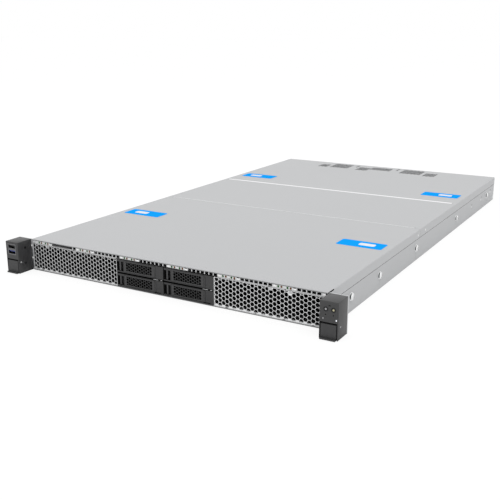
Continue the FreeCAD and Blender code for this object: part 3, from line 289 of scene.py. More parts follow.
def wire(tree, *rows):
    """Links sockets, each row as node and output, then node and input."""
    for giver, output, taker, socket in rows:
        tree.links.new(giver.outputs[output], taker.inputs[socket])


def group_sockets(group, inputs, outputs):
    for label, kind, value in inputs:
        socket = group.interface.new_socket(label, in_out="INPUT", socket_type=kind)
        socket.default_value = value
    for label, kind in outputs:
        group.interface.new_socket(label, in_out="OUTPUT", socket_type=kind)


def grain_group():
    """Fine surface grain with a slow mottle: changes colour and roughness a little, and gives a height."""
    group = bpy.data.node_groups.new("Surface grain", "ShaderNodeTree")
    group_sockets(
        group,
        [("Colour", "NodeSocketColor", (0.5, 0.5, 0.5, 1)), ("Stretch", "NodeSocketVector", (1, 1, 1)),
         ("Fineness", "NodeSocketFloat", 900.0), ("Contrast", "NodeSocketFloat", 0.05),
         ("Roughness", "NodeSocketFloat", 0.5), ("Smudging", "NodeSocketFloat", 0.08)],
        [("Colour", "NodeSocketColor"), ("Roughness", "NodeSocketFloat"), ("Height", "NodeSocketFloat")])
    given = add_node(group, "NodeGroupInput", -900, 0)
    out = add_node(group, "NodeGroupOutput", 700, 0)
    place = add_node(group, "ShaderNodeTexCoord", -900, 300)
    stretched = add_node(group, "ShaderNodeVectorMath", -700, 200, operation="MULTIPLY")
    fine = add_node(group, "ShaderNodeTexNoise", -500, 200)
    slow = add_node(group, "ShaderNodeTexNoise", -500, -100)
    fine.inputs["Detail"].default_value = 3.0
    fill(slow, {"Scale": 14.0, "Detail": 4.0})
    both = add_node(group, "ShaderNodeMath", -300, 100, operation="ADD")
    centred = add_node(group, "ShaderNodeMath", -120, 100, operation="SUBTRACT")
    centred.inputs[1].default_value = 1.0
    factor = add_node(group, "ShaderNodeMath", 60, 100, operation="MULTIPLY_ADD")
    factor.inputs[2].default_value = 1.0
    tint = add_node(group, "ShaderNodeVectorMath", 240, 100, operation="SCALE")
    off = add_node(group, "ShaderNodeMath", -120, -150, operation="SUBTRACT")
    off.inputs[1].default_value = 0.5
    rough = add_node(group, "ShaderNodeMath", 240, -150, operation="MULTIPLY_ADD")
    wire(group, (place, "Object", stretched, 0), (given, "Stretch", stretched, 1),
         (stretched, 0, fine, "Vector"), (place, "Object", slow, "Vector"),
         (given, "Fineness", fine, "Scale"), (fine, 0, both, 0), (slow, 0, both, 1), (both, 0, centred, 0),
         (centred, 0, factor, 0), (given, "Contrast", factor, 1), (given, "Colour", tint, 0),
         (factor, 0, tint, "Scale"), (tint, 0, out, "Colour"), (slow, 0, off, 0), (off, 0, rough, 0),
         (given, "Smudging", rough, 1), (given, "Roughness", rough, 2), (rough, 0, out, "Roughness"),
         (fine, 0, out, "Height"))
    return group


def board_group():
    """Solder mask over copper runs: two greens and rows of small pads."""
    group = bpy.data.node_groups.new("Board runs", "ShaderNodeTree")
    group_sockets(
        group,
        [("Mask", "NodeSocketColor", (0.01, 0.1, 0.05, 1)), ("Run", "NodeSocketColor", (0.03, 0.18, 0.08, 1)),
         ("Pad", "NodeSocketColor", (0.55, 0.45, 0.22, 1))],
        [("Colour", "NodeSocketColor"), ("Height", "NodeSocketFloat")])
    given = add_node(group, "NodeGroupInput", -900, 0)
    out = add_node(group, "NodeGroupOutput", 500, 0)
    place = add_node(group, "ShaderNodeTexCoord", -900, 300)
    runs = add_node(group, "ShaderNodeTexBrick", -600, 250)
    fill(runs, {"Scale": 60.0, "Mortar Size": 0.03, "Color1": (0, 0, 0, 1), "Color2": (0, 0, 0, 1),
                "Mortar": (1, 1, 1, 1)})
    pads = add_node(group, "ShaderNodeTexVoronoi", -600, -100, feature="F1", distance="CHEBYCHEV")
    fill(pads, {"Scale": 130.0, "Randomness": 0.35})
    small = add_node(group, "ShaderNodeMath", -380, -100, operation="LESS_THAN")
    small.inputs[1].default_value = 0.13
    lane = add_node(group, "ShaderNodeMix", -100, 200, data_type="RGBA")
    with_pads = add_node(group, "ShaderNodeMix", 150, 100, data_type="RGBA")
    wire(group, (place, "Object", runs, "Vector"), (place, "Object", pads, "Vector"),
         (runs, "Color", lane, "Factor"), (given, "Mask", lane, "A"), (given, "Run", lane, "B"),
         (pads, "Distance", small, 0), (small, 0, with_pads, "Factor"), (lane, "Result", with_pads, "A"),
         (given, "Pad", with_pads, "B"), (with_pads, "Result", out, "Colour"),
         (runs, "Fac", out, "Height"))
    return group


def grained(name, colour, roughness, fineness, contrast, smudging=0.08, bump=0.05, stretch=(1, 1, 1),
            **sockets):
    """A material whose colour, roughness and bump come from the surface grain."""
    group = bpy.data.node_groups.get("Surface grain") or grain_group()
    material = bpy.data.materials.new(name)
    material.use_nodes = True
    tree = material.node_tree
    shader = tree.nodes["Principled BSDF"]
    grain = add_node(tree, "ShaderNodeGroup", -500, 200, node_tree=group)
    fill(grain, {"Colour": (*colour, 1), "Stretch": stretch, "Fineness": fineness, "Contrast": contrast,
                 "Roughness": roughness, "Smudging": smudging})
    relief = add_node(tree, "ShaderNodeBump", -220, -200)
    fill(relief, {"Strength": bump, "Distance": 0.00004})
    wire(tree, (grain, "Colour", shader, "Base Color"), (grain, "Roughness", shader, "Roughness"),
         (grain, "Height", relief, "Height"), (relief, "Normal", shader, "Normal"))
    fill(shader, sockets)
    return material


def lamp_material(name, colour, strength):
    """A small lamp's lens, lit faintly through its grain."""
    material = grained(name, colour, 0.6, 2500.0, 0.15, **{"Specular IOR Level": 0.05})
    tree = material.node_tree
    shader = tree.nodes["Principled BSDF"]
    grain = next(node for node in tree.nodes if node.type == "GROUP")
    wire(tree, (grain, "Colour", shader, "Emission Color"))
    shader.inputs["Emission Strength"].default_value = strength
    return material


def board_material(name, colour):
    group = bpy.data.node_groups.get("Board runs") or board_group()
    material = bpy.data.materials.new(name)
    material.use_nodes = True
    tree = material.node_tree
    shader = tree.nodes["Principled BSDF"]
    runs = add_node(tree, "ShaderNodeGroup", -500, 200, node_tree=group)
    fill(runs, {"Mask": (*colour, 1), "Run": (colour[0] * 2.2, colour[1] * 1.7, colour[2] * 1.7, 1)})
    relief = add_node(tree, "ShaderNodeBump", -220, -200)
    fill(relief, {"Strength": 0.15, "Distance": 0.0001})
    wire(tree, (runs, "Colour", shader, "Base Color"), (runs, "Height", relief, "Height"),
         (relief, "Normal", shader, "Normal"))
    shader.inputs["Roughness"].default_value = 0.35
    return material


FINISH = {}

# Name, colour, roughness, fineness and contrast of the grain, and what else the finish is given
PLAIN_FINISHES = {
    # Painted highlight: the near-white grey of the bead and its lip
    "bead": ("Bead painted highlight", (0.90, 0.90, 0.91), 0.35, 1500.0, 0.02),
    # Painted shade grey: the lines under two rail studs and the ends of the bead
    "painted_shade_grey": ("Painted shade grey", (0.30, 0.31, 0.32), 0.5, 1200.0, 0.04),
    "black_sheet": ("Blackened sheet", (0.012, 0.012, 0.013), 0.6, 1200.0, 0.1),
    # Painted shade: this black stands in gaps, holes, recesses and under the vents, where there is only shade
    "painted_shade_black": ("Painted shade black", (0.004, 0.004, 0.004), 0.9, 1200.0, 0.2, {"Specular IOR Level": 0.05}),
    "release": ("Release bar plastic", (0.045, 0.045, 0.047), 0.4, 2600.0, 0.08, {"bump": 0.1}),
    "black": ("Black plastic", (0.010, 0.010, 0.011), 0.45, 2000.0, 0.12, {"bump": 0.1}),
    "steel": ("Bright steel", (0.62, 0.63, 0.64), 0.28, 700.0, 0.07,
              {"stretch": (1, 0.08, 1), "Metallic": 1.0}),
    "plated": ("Plated steel", (0.95, 0.96, 0.96), 0.22, 900.0, 0.03, {"Metallic": 1.0}),
    "dark_steel": ("Dull steel", (0.20, 0.20, 0.21), 0.4, 700.0, 0.1, {"Metallic": 1.0}),
    "case": ("Drive case", (0.42, 0.43, 0.44), 0.42, 1800.0, 0.06, {"Metallic": 0.9}),
    "supply": ("Supply case", (0.50, 0.51, 0.52), 0.38, 900.0, 0.05,
               {"stretch": (1, 0.1, 1), "Metallic": 0.9}),
    "fins": ("Fin aluminium", (0.68, 0.69, 0.70), 0.33, 800.0, 0.06,
             {"stretch": (1, 0.06, 1), "Metallic": 1.0}),
    "pipe": ("Light pipe", (0.62, 0.63, 0.63), 0.35, 600.0, 0.05, {"bump": 0.03, "Coat Weight": 0.2}),
    "pipe_end": ("Light pipe end", (0.86, 0.86, 0.86), 0.35, 600.0, 0.03),
    "button": ("Button grey", (0.34, 0.34, 0.35), 0.3, 2200.0, 0.06),
    "power_mark": ("Power mark", (0.50, 0.46, 0.28), 0.3, 2200.0, 0.06),
    "coil": ("Coil grey", (0.075, 0.078, 0.080), 0.5, 1800.0, 0.08),
    "cable": ("Cable grey", (0.28, 0.30, 0.33), 0.5, 1500.0, 0.05),
    "lever": ("Lever plastic", (0.036, 0.036, 0.037), 0.45, 2600.0, 0.10, {"bump": 0.12}),
    "strip": ("Strip sheet", (0.560, 0.565, 0.570), 0.4, 1500.0, 0.022, {"smudging": 0.05}),
    # Painted shade: the fold, foot and hem greys darken the folds below the grilles and carriers
    "fold": ("Shaded fold", (0.260, 0.262, 0.266), 0.5, 1500.0, 0.03),
    "foot": ("Foot sheet in painted shade", (0.200, 0.202, 0.206), 0.5, 1500.0, 0.03),
    # Painted shade and reflection: the dark bluish grey of the stud necks
    "stud_neck": ("Stud neck", (0.012, 0.020, 0.024), 0.6, 900.0, 0.1),
    "hem": ("Shaded hem", (0.050, 0.050, 0.051), 0.5, 1500.0, 0.05),
    "shell": ("Socket shell", (0.16, 0.16, 0.165), 0.4, 1500.0, 0.05),
    "tag": ("Tag plastic", (0.060, 0.060, 0.062), 0.5, 2000.0, 0.08),
    "label_mark": ("Label white", (0.79, 0.80, 0.81), 0.6, 1400.0, 0.03, {"bump": 0.03}),
    "blue_plastic": ("Blue plastic", (0.020, 0.035, 0.17), 0.4, 1800.0, 0.08),
    "connector": ("Connector plastic", (0.025, 0.025, 0.028), 0.45, 1500.0, 0.1),
}


def mix_finishes(colours):
    """All the materials, by the name that the pieces use."""
    for key, (name, colour, roughness, fineness, contrast, *more) in PLAIN_FINISHES.items():
        FINISH[key] = grained(name, colour, roughness, fineness, contrast, **(more[0] if more else {}))
    FINISH["sheet"] = grained("Light grey sheet", colours.sheet, 0.42, 1500.0, 0.022, 0.05)
    # Painted light: the right grille's grey is painted lighter and the left one's darker, as the light falls
    # on them; the fold band is painted shade of the same grey
    for word, shade in (("right", 1.16), ("left", 0.97)):
        bright = [channel * shade for channel in colours.grille]
        shaded = [channel * (shade - 0.48) for channel in colours.grille]
        FINISH["grille_" + word] = grained("Front sheet " + word, bright, 0.4, 1500.0, 0.022, 0.05)
        FINISH["band_" + word] = grained("Fold band " + word, shaded, 0.45, 1500.0, 0.03)
    FINISH["ear"] = grained("Ear plastic", colours.plastic, 0.42, 2600.0, 0.10, bump=0.12)
    FINISH["carrier"] = grained("Carrier plastic", colours.carrier, 0.45, 2600.0, 0.10, bump=0.12)
    FINISH["label"] = grained("Label blue", colours.label, 0.7, 1400.0, 0.02, bump=0.02,
                              **{"Specular IOR Level": 0.0})
    FINISH["latch"] = grained("Latch plastic", colours.latch, 0.35, 2000.0, 0.06)
    FINISH["green_lamp"] = lamp_material("Green lamp", colours.green_lamp, 0.05)
    FINISH["amber_lamp"] = lamp_material("Amber lamp", colours.amber_lamp, 0.05)
    FINISH["white_lamp"] = lamp_material("White lamp", (0.85, 0.87, 0.90), 0.25)
    FINISH["board"] = board_material("Green board", colours.board)
    FINISH["module_board"] = board_material("Module board", (0.006, 0.055, 0.030))


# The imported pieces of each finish; fans not named here are black, and the rest is sheet
NODE_FINISH = {
    "sheet": ("chassis_pan", "rear_panel", "cross_brace", "slot_covers"),
    "black_sheet": ("drive_cage",),
    "pipe": ("light_pipes",),
    "ear": ("ear_housing_left", "ear_housing_right", "ear_lever_left", "ear_lever_right"),
    "tag": ("info_tag",),
    "black": ("fan_frames", "psu_handle_1", "psu_handle_2", "id_button", "power_button"),
    "steel": ("ear_brackets", "ear_screws", "ear_pins"),
    "plated": ("rail_studs",),
    "dark_steel": ("front_usb_ports",),
    "board": ("drive_backplane", "main_board"),
    "module_board": ("memory_modules",),
    "fins": ("cpu_heatsinks",),
    "connector": ("memory_slots", "rear_ports"),
    "carrier": ("carrier_1", "carrier_2", "carrier_3", "carrier_4"),
    "release": ("release_bar_1", "release_bar_2", "release_bar_3", "release_bar_4"),
    "case": ("drive_1", "drive_2", "drive_3", "drive_4"),
    "supply": ("psu_case_1", "psu_case_2"),
    "latch": ("psu_latch_1", "psu_latch_2"),
}


def finish(piece, key, body="chassis"):
    """Gives the piece its finish and the body that it moves with."""
    piece.data.materials.clear()
    piece.data.materials.append(FINISH[key])
    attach(piece, body)
    return piece


class SERVER_OT_finishes(bpy.types.Operator):
    """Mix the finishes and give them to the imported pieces"""
    bl_idname = "server.finishes"
    bl_label = "Finishes"

    def execute(self, context):
        mix_finishes(context.scene.server_colours)
        wanted = {node: key for key, nodes in NODE_FINISH.items() for node in nodes}
        for name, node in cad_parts.items():
            key = wanted.get(name, "black" if "fan" in name else "sheet")
            if not node.data.materials:
                node.data.materials.append(FINISH[key])
            for slot in node.material_slots:
                slot.material = FINISH[key]
        return {"FINISHED"}


# Front grilles over the empty bays

BAY_PITCH = 0.07244
CARRIERS_HALF = 0.0722
# Half the width of a plain place, where the top hole of the grille is left out
PLAIN_HALF = 0.0024
# Side, name, first whole column of holes and middles of the plain places, as distances from the centre
GRILLES = ((1, "right", 0.0763, (0.1475, 0.1730)), (-1, "left", 0.0797, (0.1420, 0.1890)))
HOLE_COLUMNS = 31
NOTCH_PLACES = (0.090, 0.128, 0.165, 0.202)


def hole_columns(first, spacing, count, pitch, low, high):
    """Hole middles of a honeycomb: odd columns start at the low limit, even ones half a pitch below it."""
    places = []
    for k in range(count):
        z = low - (pitch / 2 if k % 2 == 0 else 0)
        while z < high + pitch / 2:
            places.append((first + k * spacing, z))
            z += pitch
    return places


def grille_panel(name, x0, x1, seam, places, sizes):
    """One perforated sheet with a fold at its top and foot and a fine seam between its two columns."""
    low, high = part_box("front_blanks_right")
    thickness, rim, fold = 0.0006, 0.0004, 0.003
    front, back = low[1], low[1] + thickness
    middle = low[1] + thickness / 2
    panel = block(name, (x0, front, low[2]), (x1, back, high[2]))
    punch = hexagon_punch(sizes.hole_flats, front - PAST, back + PAST)
    reach = sizes.hole_flats
    near = [(x, 0, z) for x, z in places if x0 - reach < x < x1 + reach]
    holes = join(name + "_holes", copies(punch, near))
    trim(holes, (x0 + rim, 0, 0), (-1, 0, 0))
    trim(holes, (x1 - rim, 0, 0), (1, 0, 0))
    trim(holes, (0, 0, sizes.grille_cut), (0, 0, -1))
    trim(holes, (0, 0, sizes.grille_high), (0, 0, 1))
    carve(panel, holes)
    carve(panel, block("seam", (seam - 0.0001, front - PAST, low[2] - PAST),
                       (seam + 0.0001, front + 0.0003, high[2] + PAST)))
    foot = block("foot", (x0, middle, low[2]), (x1, front + fold, low[2] + thickness))
    top = block("top", (x0, middle, high[2] - thickness), (x1, front + fold, high[2]))
    return join(name, [panel, foot, top])


class SERVER_OT_front_grilles(bpy.types.Operator):
    """Honeycomb grilles over the eight empty bays in painted light, with painted shade on the folds at their
    foot
    """
    bl_idname = "server.front_grilles"
    bl_label = "Front grilles"

    def execute(self, context):
        for side, word, first, plain in GRILLES:
            self.grille(side, word, first, plain, context.scene.server_sizes)
            self.folds(side, word)
        return {"FINISHED"}

    def grille(self, side, word, first, plain, sizes):
        """The perforated sheet in its side's painted light, with a patch in place of the top hole at each
        plain place in the painted shade of the fold band.
        """
        low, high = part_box("front_blanks_" + word)
        pitch = sizes.hole_pitch
        spacing = pitch * math.sqrt(3) / 2
        rim = 0.00006
        first_z = sizes.grille_low + sizes.hole_flats / 2 + rim
        top_row = sizes.grille_high - pitch * 0.62
        columns = hole_columns(first - spacing, spacing, HOLE_COLUMNS, pitch, first_z, sizes.grille_high)
        places = [(side * x, z) for x, z in columns
                  if z <= top_row or all(abs(x - spot) >= PLAIN_HALF for spot in plain)]
        grille = grille_panel("front_grille_" + word, low[0], high[0], side * 2 * BAY_PITCH, places, sizes)
        finish(grille, "grille_" + word)
        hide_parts("front_blanks_" + word)
        patch = block("patch", (-PLAIN_HALF, -0.0001, 0.0335), (PLAIN_HALF, 0.0003, 0.0367))
        patches = join("grille_patches_" + word, along_x(patch, [side * x for x in plain]))
        finish(patches, "band_" + word)

    def folds(self, side, word):
        """Three steps of the fold along the grille's foot, darker from top to foot in painted shade, and four
        notches in black painted shade.
        """
        low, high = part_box("front_blanks_" + word)
        notch = block("notch", (-0.002, low[1] - 0.0001, low[2] - 0.0006),
                      (0.002, low[1] + 0.0006, low[2] + 0.0002))
        notches = along_x(notch, [side * x for x in NOTCH_PLACES])
        finish(join("hem_notches_" + word, notches), "painted_shade_black")
        # Painted shade: the band, face and edge steps darken the fold towards its foot
        steps = (("hem_band_", -0.0001, 0.0011, 0.0020, "band_" + word, "sheet_metal"),
                 ("hem_face_", -0.00015, 0.0003, 0.0012, "fold", "sheet_metal"),
                 ("hem_edge_", -0.0002, 0.0001, 0.0006, "tag", "dark_plastic"))
        for name, y, z0, z1, key, slot in steps:
            finish(block(name + word, (low[0], y, z0), (high[0], 0.0004, z1)), key)


class SERVER_OT_bay_lining(bpy.types.Operator):
    """Thin black sheet of painted shade on the floor and sides of the bays"""
    bl_idname = "server.bay_lining"
    bl_label = "Bay shade"

    def execute(self, context):
        low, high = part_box("drive_cage")
        pan_low, pan_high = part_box("chassis_pan")
        wall = 0.0012
        film = 0.00012
        floor_z = pan_low[2] + wall
        inner = pan_high[0] - wall
        y0, y1 = 0.0011, high[1] - 0.001
        lining = block("bay_lining", (-inner + 0.0001, y0, floor_z + 0.00002),
                       (inner - 0.0001, y1, floor_z + film))
        for side in (-1, 1):
            wing = block("wing", (side * (inner - 0.00002), y0, floor_z + film / 2),
                         (side * (inner - film), y1, low[2] + 0.034))
            carve(lining, wing, "UNION")
        finish(lining, "black_sheet")
        return {"FINISHED"}


# Strip above the bays

PIPE_CENTRES = [-0.19666 + BAY_PITCH * k for k in range(6)]
PIPE_HALF = 0.015
# From a light pipe's middle to the middles of its end pads and of the first square vent beside it
PAD_REACH, VENT_START = 0.0128, 0.0181
VENTS_IN_ROW = 7


class SERVER_OT_vent_strip(bpy.types.Operator):
    """Strip with square vents between the light pipes, and the drive lamps"""
    bl_idname = "server.vent_strip"
    bl_label = "Vent strip"

    def execute(self, context):
        low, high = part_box("vent_strip")
        pipe_low, pipe_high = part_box("light_pipes")
        top = high[2] - 0.00025
        y0, y1 = low[1] - PAST, high[1] + PAST
        strip = block("front_vent_strip", low, (high[0], low[1] + 0.0005, top))
        fit = 0.00015
        window = block("window", (-PIPE_HALF - fit, y0, pipe_low[2] - fit),
                       (PIPE_HALF + fit, y1, pipe_high[2] + fit))
        carve(strip, join("windows", along_x(window, PIPE_CENTRES)))
        self.vents(strip, y0, y1, top, context.scene.server_sizes)
        carve(strip, block("relief", (-CARRIERS_HALF, y0, low[2] - PAST),
                           (CARRIERS_HALF, y1, low[2] + 0.0006)))
        finish(strip, "strip")
        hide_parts("vent_strip")
        self.lamps(pipe_low, pipe_high)
        self.pipe_ends(pipe_low, pipe_high)
        self.shadows(low, high, top)
        return {"FINISHED"}

    def vents(self, strip, y0, y1, top, sizes):
        """Square vents right of each light pipe, as far as they clear the slot of the pull-out tag."""
        tag_low, tag_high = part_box("info_tag")
        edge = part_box("vent_strip")[1][0] - 0.001
        carve(strip, block("tag_slot", (tag_low[0] - 0.0025, y0, tag_low[2] - 0.00015),
                           (tag_high[0] + 0.00015, y1, top - 0.0001)))
        half = sizes.strip_hole / 2
        columns = [centre + VENT_START + k * sizes.strip_pitch
                   for centre in PIPE_CENTRES for k in range(VENTS_IN_ROW)]
        clear = [x for x in columns
                 if x + half < edge and (x + half < tag_low[0] - 0.003 or x - half > tag_high[0])]
        vent = block("vent", (-half, y0, top - 0.0031), (half, y1, top - 0.0001))
        carve(strip, join("vents", along_x(vent, clear)))

    def shadows(self, low, high, top):
        """Painted shadows in black: the gap under the cover, the corner beside the strip, and the strip's
        notches and foot.
        """
        y, foot = low[1], low[2]
        pieces = [block("cover_gap_shadow", (low[0], y + 0.0003, top), (high[0], y + 0.0008, high[2] + 0.0002)),
                  block("corner", (high[0] - 0.0004, y - 0.0001, foot + 0.0012),
                        (high[0] + 0.0026, y + 0.0004, high[2]))]
        for x0, x1, z0, z1 in ((0.0003, 0.0015, foot + 0.0001, foot + 0.0007),
                               (0.0073, 0.0085, foot + 0.0001, foot + 0.0007),
                               (-0.0208, -0.0156, foot, foot + 0.0004),
                               (0.0112, 0.0142, high[2] - 0.0010, high[2] - 0.0003)):
            pieces += along_x(block("notch", (x0, y - 0.00005, z0), (x1, y + 0.0002, z1)), PIPE_CENTRES)
        shade = block("shade", (0.0153, y - 0.00008, foot + 0.0001), (0.0571, y + 0.0002, foot + 0.0009))
        pieces += along_x(shade, PIPE_CENTRES[2:4])
        pieces.append(block("line", (-CARRIERS_HALF, y - 0.00008, foot + 0.0001),
                            (CARRIERS_HALF, y + 0.0002, foot + 0.0007)))
        finish(join("strip_shadows", pieces), "painted_shade_black")

    def pipe_ends(self, low, high):
        """Bright pads at both ends of each light pipe but the left end one, and at the strip's right end."""
        pad = block("pad", (-0.0013, low[1] - 0.00015, low[2] + 0.0003),
                    (0.0018, low[1] + 0.0010, high[2] - 0.0007))
        round_edges(pad, 0.0001, 1)
        places = [x + reach for x in PIPE_CENTRES[1:] for reach in (-PAD_REACH, PAD_REACH)]
        strip_end = 0.2137
        finish(join("pipe_ends", along_x(pad, places + [strip_end])), "pipe_end")

    def lamps(self, low, high):
        z = (low[2] + high[2]) / 2
        for word, offsets in (("green", (-0.00775, 0.00375)), ("amber", (-0.00375, 0.00775))):
            lens = rod("lens", (0, low[1] + 0.0001, z), 0.0013, 0.0006, "y", 16)
            round_edges(lens, 0.0002, 1)
            lenses = along_x(lens, [x + offset for x in PIPE_CENTRES for offset in offsets])
            finish(join("drive_lamps_" + word, lenses), word + "_lamp")


# Drive carriers

LEVER_COLUMNS = 12


class SERVER_OT_carrier_levers(bpy.types.Operator):
    """Perforated levers of the four drive carriers"""
    bl_idname = "server.carrier_levers"
    bl_label = "Carrier levers"

    def execute(self, context):
        for number in range(1, 5):
            node = "carrier_lever_%d" % number
            lever = self.lever(node, context.scene.server_sizes)
            smooth(lever, 30)
            finish(lever, "lever", node)
            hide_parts(node)
        return {"FINISHED"}

    def lever(self, node, sizes):
        """Perforated plate with a knuckle and a cam, bored for the pin that it turns on."""
        low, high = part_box(node)
        front, back = low[1], low[1] + 0.0012
        middle = (low[2] + high[2]) / 2
        hinge_x = high[0] - 0.0012
        plate = block(node + "_face", (low[0], front, low[2]), (hinge_x, back, high[2]))
        knuckle = rod("knuckle", (hinge_x, back, middle), 0.00119, high[2] - low[2] - 0.0001, "z", 24)
        cam = block("cam", (hinge_x - 0.0012, back, low[2]), (hinge_x + 0.0006, high[1], high[2]))
        for piece in (plate, knuckle, cam):
            carve(piece, rod("bore", (hinge_x, back, middle), 0.00072, 0.03, "z", 16))
        carve(plate, self.holes(low, high, middle, sizes))
        carve(plate, block("groove", (hinge_x - 0.0009, front - PAST, low[2] - PAST),
                           (hinge_x - 0.0004, front + 0.0007, high[2] + PAST)))
        return join(node + "_face", [plate, knuckle, cam])

    def holes(self, low, high, middle, sizes):
        """Columns of three or four holes in turn, cut off straight above and below."""
        pitch = sizes.lever_pitch
        places = []
        for k in range(LEVER_COLUMNS):
            x = low[0] + 0.0047 + k * pitch * math.sqrt(3) / 2
            rows = (-1, 0, 1) if k % 2 else (-1.5, -0.5, 0.5, 1.5)
            places += [(x, 0, middle + row * pitch) for row in rows]
        punch = hexagon_punch(sizes.lever_flats, low[1] - PAST, low[1] + 0.0034)
        holes = join("lever_holes", copies(punch, places))
        reach = pitch + sizes.lever_flats / 2 + 0.0001
        field = block("field", (low[0], low[1] - 0.002, middle - reach),
                      (high[0], low[1] + 0.005, middle + reach))
        carve(holes, field, "INTERSECT")
        return holes


class SERVER_OT_carrier_linings(bpy.types.Operator):
    """Black painted shade behind each lever, round each release bar and on the lower bezels"""
    bl_idname = "server.carrier_linings"
    bl_label = "Carrier shades"

    def execute(self, context):
        for number in range(1, 5):
            pieces = self.recesses(number)
            if number > 2:
                pieces += self.bezel_shadows(number)
            finish(join("carrier_lining_%d" % number, pieces), "painted_shade_black", "carrier_%d" % number)
        self.hem()
        return {"FINISHED"}

    # Black painted shade behind the lever and round the recess of the release bar
    def recesses(self, number):
        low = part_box("carrier_%d" % number)[0]
        bar_low, bar_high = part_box("release_bar_%d" % number)
        lever_low, lever_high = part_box("carrier_lever_%d" % number)
        left, right = low[0] + 0.0013, low[0] + 0.0094
        front, edge, deep = low[1], low[1] + 0.0004, bar_high[1] + 0.0001
        foot, head = bar_low[2] - 0.0003, bar_high[2] + 0.0003
        return [block("back", (lever_low[0] - 0.0003, front + 0.0052, lever_low[2] - 0.0003),
                      (lever_high[0] - 0.0026, front + 0.0056, lever_high[2] + 0.0003)),
                block("floor", (left, deep, foot), (right, deep + 0.0001, head)),
                block("wall", (left, edge, foot), (left + 0.0002, deep, head)),
                block("wall", (right - 0.0002, edge, foot), (right, deep, head)),
                block("surround", (low[0] + 0.0001, front - 0.0001, foot), (left + 0.0001, edge, head)),
                block("sill", (left, edge, foot), (right, deep, foot + 0.0001))]

    def bezel_shadows(self, number):
        """Black painted shade in the gap on top of a lower bezel, and a short dash of it at the bezel's foot.
        """
        low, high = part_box("carrier_%d" % number)
        front = low[1]
        return [block("bezel_gap_shadow", (low[0] + 0.0001, front - 0.0001, high[2] - 0.0003),
                      (high[0] - 0.0001, front + 0.0118, high[2] + 0.0001)),
                block("dash", (low[0] + 0.0570, front - 0.0001, low[2] + 0.0002),
                      (low[0] + 0.0669, front + 0.0005, low[2] + 0.0011))]

    def hem(self):
        """Dotted hem of the chassis floor under the carriers in dark painted shade, and the paler foot below
        it in lighter painted shade.
        """
        hem = block("carrier_hem", (-CARRIERS_HALF, -0.0002, 0.0002), (CARRIERS_HALF, 0.0004, 0.00185))
        dot = block("dot", (-0.0008, -0.0006, 0.0011), (0.0008, -0.0001, 0.0017))
        carve(hem, join("dots", along_x(dot, [-0.068 + 0.0058 * k for k in range(24)])))
        finish(hem, "hem")
        foot = block("carrier_hem_foot", (-CARRIERS_HALF, -0.0003, 0.0001), (CARRIERS_HALF, 0.0004, 0.0009))
        finish(foot, "foot")


class SERVER_OT_carrier_springs(bpy.types.Operator):
    """Bright contact springs between the two rows of carriers"""
    bl_idname = "server.carrier_springs"
    bl_label = "Carrier springs"

    def execute(self, context):
        for number in (3, 4):
            low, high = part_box("carrier_%d" % number)
            right = high[0] + 0.00062
            springs = []
            for x0, x1 in ((-0.0161, -0.0083), (-0.0054, -0.0024)):
                leaf = block("leaf", (right + x0, low[1] + 0.0002, high[2] + 0.0003),
                             (right + x1, low[1] + 0.0040, high[2] + 0.0009))
                round_edges(leaf, 0.0002)
                springs.append(leaf)
            pair = join("carrier_springs_%d" % number, springs)
            finish(pair, "steel", "carrier_%d" % number)
        return {"FINISHED"}


# Inside

CHIPS = (
    (0.062, 0.560, 0.021), (-0.068, 0.640, 0.023), (0.044, 0.700, 0.015), (-0.150, 0.530, 0.018),
    (0.165, 0.525, 0.018), (0.100, 0.660, 0.012), (0.000, 0.520, 0.014), (-0.020, 0.300, 0.012),
    (0.024, 0.306, 0.010), (-0.112, 0.592, 0.011),
)


